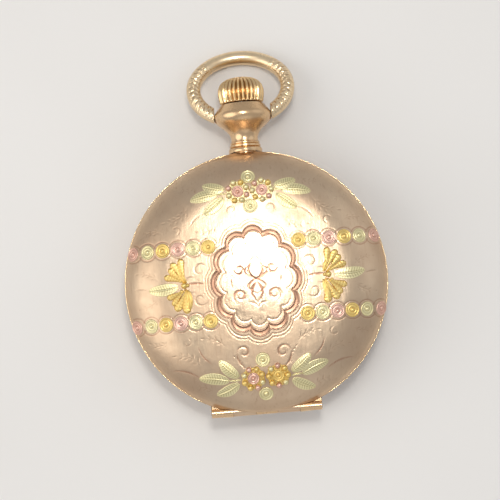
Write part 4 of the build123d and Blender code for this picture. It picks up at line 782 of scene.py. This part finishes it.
def coloured_work():
    """Studs, flowers and leaves of yellow, green and rose gold on the lid."""
    rows = {"yellow": [], "green": list(LONE_GREEN), "rose": []}
    for row in ROWS:
        for i, spot in enumerate(row):
            rows[("yellow", "green", "rose")[i % 3]].append(spot)
    for colour, spots in rows.items():
        piece = Piece(colour + "_studs")
        for x, y in spots:
            rosette(piece, x, y)
        piece.make([colour], "lid", ["rosettes_" + colour])
    bosses = Piece("flower_hearts")
    for i, (x, y) in enumerate(BOSSES):
        rosette(bosses, x, y, BOSS_R, look=1 if i == 3 else 0)
    bosses.make(["rose", "yellow"], "lid", ["flower_bosses"])
    buds = Piece("flower_buds")
    for x, y in BOSSES:
        flower_bed(buds, x, y, 2 if y > 0 else 0)
        looks = (2, 0, 2, 1) if y > 0 else (0, 0, 1, 2)
        for i in range(BUD_COUNT):
            a = 2 * math.pi * (i + (0.5 if x < 0 else 0)) / BUD_COUNT
            ball(buds, x + BUD_RING_R * math.cos(a), y + BUD_RING_R * math.sin(a), BUD_R, 0.5, looks[i % 4])
    buds.make(["yellow", "rose", "green"], "lid", ["flower_beads"])
    green = Piece("green_leaf_work")
    for i, (root, tip, width) in enumerate(GREEN_LEAVES):
        leaf(green, root, tip, 1.08 * width, ribs=12 if width > 1.7 else 10, bend=0.04 * (-1) ** i)
    for root, tip in STEMS:
        leaf(green, root, tip, 0.3, ribs=3, height=0.1)
    green.make(["green"], "lid", ["leaves_green"])
    yellow = Piece("yellow_leaf_work")
    for one in YELLOW_FANS:
        fan(yellow, *one)
    for root, tip, width in YELLOW_LEAVES:
        leaf(yellow, root, tip, width, 3, height=0.34)
    for side in (-1, 1):
        for x, y, radius in ROOT_BEADS:
            ball(yellow, side * x, y, radius, 0.3, 0)
    yellow.make(["yellow"], "lid", ["leaves_yellow"])


BORDER_OUTER = (6.45, 8.1, 1.05)
BORDER_INNER = (5.2, 6.7, 1.2)
# share of the way in, lift and hollow across the border; the hollow paints shade into the low middle of the
# bevel
BORDER = (
    (0.0, -0.05, 0.2), (0.02, 0.17, 0.1), (0.05, 0.2, 0.0), (0.1, 0.22, 0.0), (0.15, 0.21, 0.0),
    (0.2, 0.17, 0.4), (0.3, 0.15, 0.6), (0.42, 0.135, 0.6), (0.54, 0.12, 0.65), (0.64, 0.115, 0.75),
    (0.7, 0.115, 0.8), (0.75, 0.125, 0.6), (0.8, 0.15, 0.1), (0.86, 0.17, 0.0), (0.93, 0.15, 0.0),
    (0.98, 0.1, 0.2), (1.0, -0.05, 0.4),
)


def cartouche():
    """Lobed rose-gold border: a bevel with a bright edge each side and points at its cusps."""
    share, lift, hollow_shade = np.array(BORDER[::-1]).T[:, :, None]
    outer, inner = lobed(*BORDER_OUTER)[None], lobed(*BORDER_INNER)[None]
    flat = outer * (1 - share[..., None]) + inner * share[..., None]
    reach = np.hypot(flat[..., 0], flat[..., 1])
    points = on_lid(np.concatenate((flat, lid_height(reach)[..., None]), axis=-1), lift + 0 * reach)
    piece = Piece("cartouche_border")
    piece.patch(points, shades(hollow_shade + 0 * reach), wrap=True)
    piece.make(["frame"], "lid", ["cartouche_frame"])


# ---------------- bow and crown
BOW_WIRE_R = 1.15
BOW_HALF = (7.65, 6.36)
BOW_CENTRE = 5.54
BOW_TILT = math.radians(-28.35)
BOW_END = math.asin(-0.88)
BOW_CLIP_R = 4.78
BOW_STEPS = 640


def bow_place(local):
    """Points given in the bow's own plane, moved to where the bow lies."""
    y = PIVOT_Y + local[..., 1] * math.cos(BOW_TILT) - local[..., 2] * math.sin(BOW_TILT)
    z = MID_Z + local[..., 1] * math.sin(BOW_TILT) + local[..., 2] * math.cos(BOW_TILT)
    return np.stack((local[..., 0], y, z), axis=-1)


def bow():
    """Oval bow, plain over its top and chased with small leaves and beads down both sides."""
    t = np.linspace(BOW_END, np.pi - BOW_END, BOW_STEPS)[:, None]
    phi = around(56)[None, :]
    centre = np.stack((BOW_HALF[0] * np.cos(t), BOW_CENTRE + BOW_HALF[1] * np.sin(t)), axis=-1)
    out = np.stack((BOW_HALF[1] * np.cos(t), BOW_HALF[0] * np.sin(t)), axis=-1)
    out /= np.linalg.norm(out, axis=-1, keepdims=True)
    run = np.concatenate(([0], np.cumsum(np.linalg.norm(np.diff(centre[:, 0], axis=0), axis=1))))[:, None]
    run = run - run[-1] / 2
    chased = rise(np.abs(t - np.pi / 2), math.radians(40), math.radians(50))
    off = np.arctan2(np.cos(phi), np.abs(np.sin(phi)))
    shift = 0.24 * np.sign(off)
    leaves = np.abs(np.cos(np.pi * (np.abs(run) / 0.95 + shift) - 1.5 * np.abs(off)))
    veins = np.cos(2 * np.pi * (np.abs(run) / 0.3) - 5 * off)
    beads = np.cos(2 * np.pi * run / 0.42)
    pattern = 0.12 * (leaves - 0.5) * bell(np.abs(off), 0.42, 0.4) + 0.035 * veins * bell(off, 0, 0.75)
    pattern = pattern + 0.05 * beads * bell(np.abs(off), 0.98, 0.1)
    rail = 0.07 * bell(np.abs(off), 1.2, 0.06) + 0.05 * bell(off, 0, 0.06)
    radius = BOW_WIRE_R + chased * (pattern + rail - 0.02)
    local = np.stack((
        centre[..., 0] + radius * np.cos(phi) * out[..., 0],
        centre[..., 1] + radius * np.cos(phi) * out[..., 1],
        radius * np.sin(phi),
    ), axis=-1)
    side = np.sign(np.cos(t)) + 0 * phi
    clip = np.sqrt(BOW_CLIP_R**2 - np.minimum(local[..., 1] ** 2 + local[..., 2] ** 2, 2.4))
    low = (np.sin(t) < -0.3) & (side * local[..., 0] < clip)
    local[..., 0] = np.where(low, side * clip, local[..., 0])
    # painted shade in the low parts of the chasing
    hollow_shade = chased * np.clip(-11 * pattern + 0.05, 0, 0.7)
    piece = Piece("chased_bow")
    piece.patch(bow_place(local)[::-1], shades(hollow_shade, chased + 0 * phi)[::-1], wrap=True)
    for side in (-1, 1):
        pin(piece, side)
    piece.make(["bow"], "bow", ["bow"])


# distance from the middle and radius along a pivot pin
PIN_STATIONS = ((5.3, 0.45), (3.25, 0.45), (3.1, 0.38), (3.1, 0.0))


def pin(piece, side):
    """Pivot pin that stands out of one end of the bow into the pendant."""
    x, r = np.array(PIN_STATIONS[::-1]).T[:, :, None]
    angle = around(20)
    y = PIVOT_Y + r * np.cos(angle)
    piece.patch(np.stack((side * x + 0 * y, y, MID_Z + side * r * np.sin(angle)), axis=-1), wrap=True)


# distance along the pendant and radius
CROWN_PROFILE = (
    (28.98, 2.6), (28.98, 3.2), (29.1, 3.42), (29.4, 3.52), (29.9, 3.63), (30.4, 3.7), (30.9, 3.72),
    (31.4, 3.66), (31.9, 3.5), (32.3, 3.24), (32.6, 2.92), (32.85, 2.52), (33.02, 2.1), (33.14, 1.6),
    (33.22, 1.0), (33.27, 0.5), (33.28, 0.0),
)
CROWN_STEPS = 70
CROWN_FLUTES = 30
FLUTE_DEPTH = 0.36


def crown():
    """Winding crown: round flutes that run over the shoulder and die out on a flat dome."""
    known = np.arange(len(CROWN_PROFILE))
    fine = np.linspace(0, known[-1], CROWN_STEPS)
    y, r = (np.interp(fine, known, column)[:, None] for column in np.array(CROWN_PROFILE).T)
    angle = around(CROWN_FLUTES * 14)[None, :]
    wave = 1 - np.abs(np.sin(CROWN_FLUTES * angle / 2)) ** 1.6
    depth = FLUTE_DEPTH * rise(r, 1.5, 3.2) * rise(y, 28.98, 29.4)
    reach = np.maximum(r - depth * wave, 0)
    points = np.stack((reach * np.sin(angle), y + 0 * angle, MID_Z + reach * np.cos(angle)), axis=-1)
    # painted shade in the troughs of the flutes
    marks = shades(np.clip(0.8 * depth / FLUTE_DEPTH * rise(wave, 0.4, 1.0), 0, 1))
    piece = Piece("fluted_crown")
    piece.patch(points[::-1], marks[::-1], wrap=True, pole=True)
    piece.make(["crown"], "crown", ["crown"])


# ---------------- dial
DIAL_TOP = 9.25
SECONDS_TOP = 9.05
SECONDS_AT = (8.0, 0.0)
PAINT = 0.012
TICKS = 60
HOUR_R = 12.9
HOUR_SIZE = 3.3
HOUR_NARROW = 0.72
NUMERALS = ("I", "II", "III", "IIII", "V", None, "VII", "VIII", "IX", "X", "XI", "XII")
# middle, height, inner and outer circle, width of a circle's line, width of a tick, parts of a circle
TRACKS = (
    ((0.0, 0.0), DIAL_TOP + PAINT, 14.99, 15.76, 0.08, 0.09, 180),
    (SECONDS_AT, SECONDS_TOP + PAINT, 3.25, 3.75, 0.06, 0.06, 96),
)


def flat_ring(piece, centre, r, width, z, parts):
    """Painted circle."""
    angle = around(parts)
    reach = np.array((r - width / 2, r + width / 2))[:, None]
    x, y = centre[0] + reach * np.cos(angle), centre[1] + reach * np.sin(angle)
    piece.patch(np.stack((x, y, z + 0 * x), axis=-1), wrap=True)


def ticks(piece, centre, r_in, r_out, z, width):
    """Painted strokes from one circle to the other, twice as wide at every fifth."""
    for i in range(TICKS):
        a = math.radians(180 - 360 * i / TICKS)
        half = width * (2.0 if i % 5 == 0 else 1.0) / 2
        r = np.array((r_in, r_out))[:, None]
        s = half * np.array((-1, 1))[None, :]
        x = centre[0] + r * math.cos(a) - s * math.sin(a)
        y = centre[1] + r * math.sin(a) + s * math.cos(a)
        piece.patch(np.stack((x, y, z + 0 * x), axis=-1))


def hour_mesh(numeral):
    """Flat mesh of one roman hour."""
    text = bpy.data.curves.new("hour_text", "FONT")
    text.body = numeral
    text.size = HOUR_SIZE * MM
    text.align_x = "CENTER"
    text.align_y = "CENTER"
    text.extrude = 0.008 * MM
    text.offset = 0.035 * MM
    source = add_object("hour_text", text)
    bpy.context.view_layer.update()
    mesh = bpy.data.meshes.new_from_object(source)
    bpy.data.objects.remove(source)
    mesh.materials.clear()
    mesh.materials.append(materials["paint"])
    return mesh


def dial_marks():
    """Minute track, seconds track and roman hours, with twelve on the side away from the seconds."""
    track = Piece("dial_tracks")
    for centre, z, r_in, r_out, line, tick, parts in TRACKS:
        flat_ring(track, centre, r_out, line, z, parts)
        flat_ring(track, centre, r_in, line, z, parts)
        ticks(track, centre, r_in, r_out, z, tick)
    track.make(["paint"], "case")
    narrow = Matrix.Diagonal((HOUR_NARROW, 1.0, 1.0, 1.0))
    for hour, numeral in enumerate(NUMERALS, start=1):
        if numeral is None:
            continue
        a = math.radians(180 - 30 * hour)
        spot = Vector((HOUR_R * math.cos(a), HOUR_R * math.sin(a), DIAL_TOP + PAINT)) * MM
        mesh = hour_mesh(numeral)
        mesh.transform(Matrix.Translation(spot) @ Matrix.Rotation(a - math.pi / 2, 4, "Z") @ narrow)
        piece = add_object(f"hour_{hour:02d}", mesh)
        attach(piece, "case")


# ---------------- case band and back
CASE_R = 20.9
BAND_Z = (5.35, 8.25)
BAND_ARCS = ((-62.5, 80.5), (99.5, 242.5))
REED_COUNT = 190
REED_STEPS = 8


def band():
    """Reeded strip round the case's middle, broken at the hinge and the pendant."""
    piece = Piece("reeded_band")
    low, high = BAND_Z
    middle = np.linspace(low + 0.2, high - 0.2, 7)
    z = np.concatenate(((low, low + 0.05), middle, (high - 0.05, high)))[:, None]
    fade = np.clip(np.minimum(z - low, high - z) / 0.22, 0, 1)
    for start, stop in BAND_ARCS:
        steps = REED_STEPS * int(REED_COUNT * (stop - start) / 360) + 1
        angle = np.linspace(math.radians(start), math.radians(stop), steps)[None, :]
        ends = rise(np.minimum(angle - angle[0, 0], angle[0, -1] - angle), 0, 0.012)
        crest = np.abs(np.cos(np.arange(steps) / REED_STEPS * np.pi))[None, :] ** 0.8
        reach = CASE_R - 0.03 + ends * fade * (0.045 + 0.035 * crest)
        points = np.stack((reach * np.cos(angle), reach * np.sin(angle), z + 0 * angle), axis=-1)
        # painted shade in the grooves between the reeds
        hollow_shade = np.clip(1 - crest * 1.4, 0, 0.8) * fade
        piece.patch(points[::-1], shades(hollow_shade, np.ones_like(hollow_shade))[::-1])
    piece.make(["bow"], "case")


HINGE_Y = -20.2
LUG_SPAN = (5.32, 8.78)
LUG_MIDDLE_Z = 6.8
# share of the way out from the case, and height
LUG_SECTION = (
    (0.0, 8.6), (0.55, 8.62), (0.9, 8.5), (1.0, 8.1), (1.03, 7.4), (1.0, 6.1), (0.93, 5.2), (0.6, 5.0),
    (0.0, 5.0),
)


def hinge_lugs():
    """Polished wedges that fill the room between the round case and its two straight hinges."""
    piece = Piece("hinge_lugs")
    low, high = LUG_SPAN
    x = np.linspace(low, high, 24)[:, None]
    share, z = np.array(LUG_SECTION).T[:, None, :]
    root = -np.sqrt((CASE_R - 0.1) ** 2 - x**2)
    far = HINGE_Y - 0.78 + 0.25 * ((x - low) / (high - low)) ** 2
    y = root + (far - root) * share
    for side in (-1, 1):
        points = np.stack((side * x + 0 * y, y, z + 0 * y), axis=-1)
        cap = points[-1:].copy()
        cap[..., 1] = (cap[..., 1] + root[-1]) / 2
        cap[..., 2] = LUG_MIDDLE_Z + 0.1 * (cap[..., 2] - LUG_MIDDLE_Z)
        points = np.concatenate((points, points[-1:], cap))
        plain = np.zeros(points.shape[:2])
        piece.patch(points if side > 0 else points[::-1], shades(plain + 0.08, plain + 1))
    piece.make(["bow"], "case")


# ---------------- back
BACK_TABLE_R = 7.0
BACK_SHOULDER_Z = 0.6
BACK_RIM_Z = 4.55
BACK_FLAT_ARC_R = ((SHOULDER_R - BACK_TABLE_R) ** 2 + BACK_SHOULDER_Z**2) / (2 * BACK_SHOULDER_Z)
BACK_TURN = math.asin((SHOULDER_R - BACK_TABLE_R) / BACK_FLAT_ARC_R)
BACK_SHOULDER_R, BACK_SHOULDER_ARC = tangent_arc(
    (SHOULDER_R, BACK_SHOULDER_Z), (LID_R, BACK_RIM_Z), (math.sin(BACK_TURN), -math.cos(BACK_TURN))
)


def on_back(r, angle, lift):
    """Points of the back cover's outside at radius r, raised by lift square to it."""
    inner = r <= SHOULDER_R
    turn = np.where(
        inner,
        np.arcsin(np.clip((r - BACK_TABLE_R) / BACK_FLAT_ARC_R, -1, 1)),
        np.arcsin(np.clip((r - BACK_SHOULDER_ARC[0]) / BACK_SHOULDER_R, -1, 1)),
    )
    reach = np.where(inner, BACK_FLAT_ARC_R, BACK_SHOULDER_R) + lift
    out = np.where(inner, BACK_TABLE_R, BACK_SHOULDER_ARC[0]) + reach * np.sin(turn)
    z = np.where(inner, BACK_FLAT_ARC_R, BACK_SHOULDER_ARC[1]) - reach * np.cos(turn)
    return np.stack((out * np.cos(angle), out * np.sin(angle), z), axis=-1)


def back_face():
    """Engine-turned back: waves that spread from a plain disc and end at a beaded ring near the rim."""
    r = np.linspace(9.6, 20.3, 120)[:, None]
    angle = around(900)[None, :]
    sway = 0.055 * np.sin(2 * np.pi * r / 2.6)
    ray = np.cos(60 * (angle + sway)) * rise(r, 10.2, 10.8) * (1 - rise(r, 18.6, 18.9))
    ring = 0.05 * bell(r, 19.3, 0.22) * (0.7 + 0.3 * np.cos(150 * angle)) + 0.02 * bell(r, 10.0, 0.12)
    fade = rise(r, 9.6, 9.9) * (1 - rise(r, 20.0, 20.3))
    lift = -0.03 + fade * (0.078 + 0.028 * ray * rise(r, 10.4, 12) + ring)
    # painted shade in the troughs of the waves
    hollow_shade = fade * np.clip(0.55 * rise(-ray, 0.2, 0.95), 0, 1)
    piece = Piece("back_engraving")
    piece.patch(on_back(r + 0 * angle, angle, lift), shades(hollow_shade), wrap=True)
    piece.make(["lid"], "back")


# ---------------- stage
FLOOR_HALF = 1.2
SKY_COLOUR = (0.93, 0.95, 1.0, 1.0)
SKY_STRENGTH = 0.53
# name, place and aim in millimetres, size in millimetres, watts, colour
LAMPS = (
    ("key", (4, 84, 300), (0, 4, 12), 84, 0.11, (1.0, 0.98, 0.95)),
    ("flash", (12, 42, 300), (0, 10, 12), 40, 0.17, (1.0, 0.99, 0.97)),
    ("left_soft", (-420, -40, 330), (0, 0, 8), 520, 0.95, (1.0, 0.97, 0.93)),
    ("right_soft", (460, 160, 260), (0, 0, 8), 460, 0.2, (0.95, 0.97, 1.0)),
    ("front_soft", (60, -480, 260), (0, 0, 8), 480, 0.16, (1.0, 1.0, 1.0)),
)
CAMERA_LEAN = math.radians(4.5)
CAMERA_ROLL = math.radians(4.7)
CAMERA_AIM = (-0.6, 5.34, 7.0)
CAMERA_DISTANCE = 300
LENS = 135
SENSOR = 36


def studio():
    """Pale floor and an even studio sky."""
    s = Shader("pale_floor")
    s.bump(s.noise(700, 3), 30)
    s.finish(s.blend(s.noise(14, 3), srgb(226, 222, 216), srgb(236, 233, 228)), 0.75, 0.0)
    mesh = bpy.data.meshes.new("floor")
    corners = [(a * FLOOR_HALF, b * FLOOR_HALF, 0) for a, b in ((-1, -1), (1, -1), (1, 1), (-1, 1))]
    mesh.from_pydata(corners, [], [(0, 1, 2, 3)])
    mesh.materials.append(s.material)
    floor = add_object("floor", mesh)
    world = bpy.data.worlds.new("studio")
    world.use_nodes = True
    sky = world.node_tree.nodes["Background"]
    sky.inputs["Color"].default_value = SKY_COLOUR
    sky.inputs["Strength"].default_value = SKY_STRENGTH
    bpy.context.scene.world = world
    bpy.context.scene.view_settings.view_transform = "Standard"


def lamp(name, at, aim, size, watts, colour):
    """Soft round area lamp."""
    data = bpy.data.lights.new(name, "AREA")
    data.shape = "DISK"
    data.size = size * MM
    data.energy = watts
    data.color = colour
    light = add_object(name, data)
    light.location = Vector(at) * MM
    light.rotation_euler = (Vector(at) - Vector(aim)).to_track_quat("Z", "Y").to_euler()


def camera():
    """Camera above the lid, leaning a little towards the hinge and rolled as the watch lies."""
    back = Vector((0, -math.sin(CAMERA_LEAN), math.cos(CAMERA_LEAN)))
    up = Vector((math.sin(CAMERA_ROLL), math.cos(CAMERA_ROLL), 0))
    up = (up - up.dot(back) * back).normalized()
    turn = Matrix((up.cross(back), up, back)).transposed().to_4x4()
    data = bpy.data.cameras.new("camera")
    data.lens = LENS
    data.sensor_width = SENSOR
    data.clip_start = 0.01
    seen = add_object("camera", data)
    seen.matrix_world = Matrix.Translation((Vector(CAMERA_AIM) + CAMERA_DISTANCE * back) * MM) @ turn
    bpy.context.scene.camera = seen


lid_face()
lid_edge()
coloured_work()
cartouche()
bow()
crown()
dial_marks()
band()
hinge_lugs()
back_face()
studio()
for recipe in LAMPS:
    lamp(*recipe)
camera()
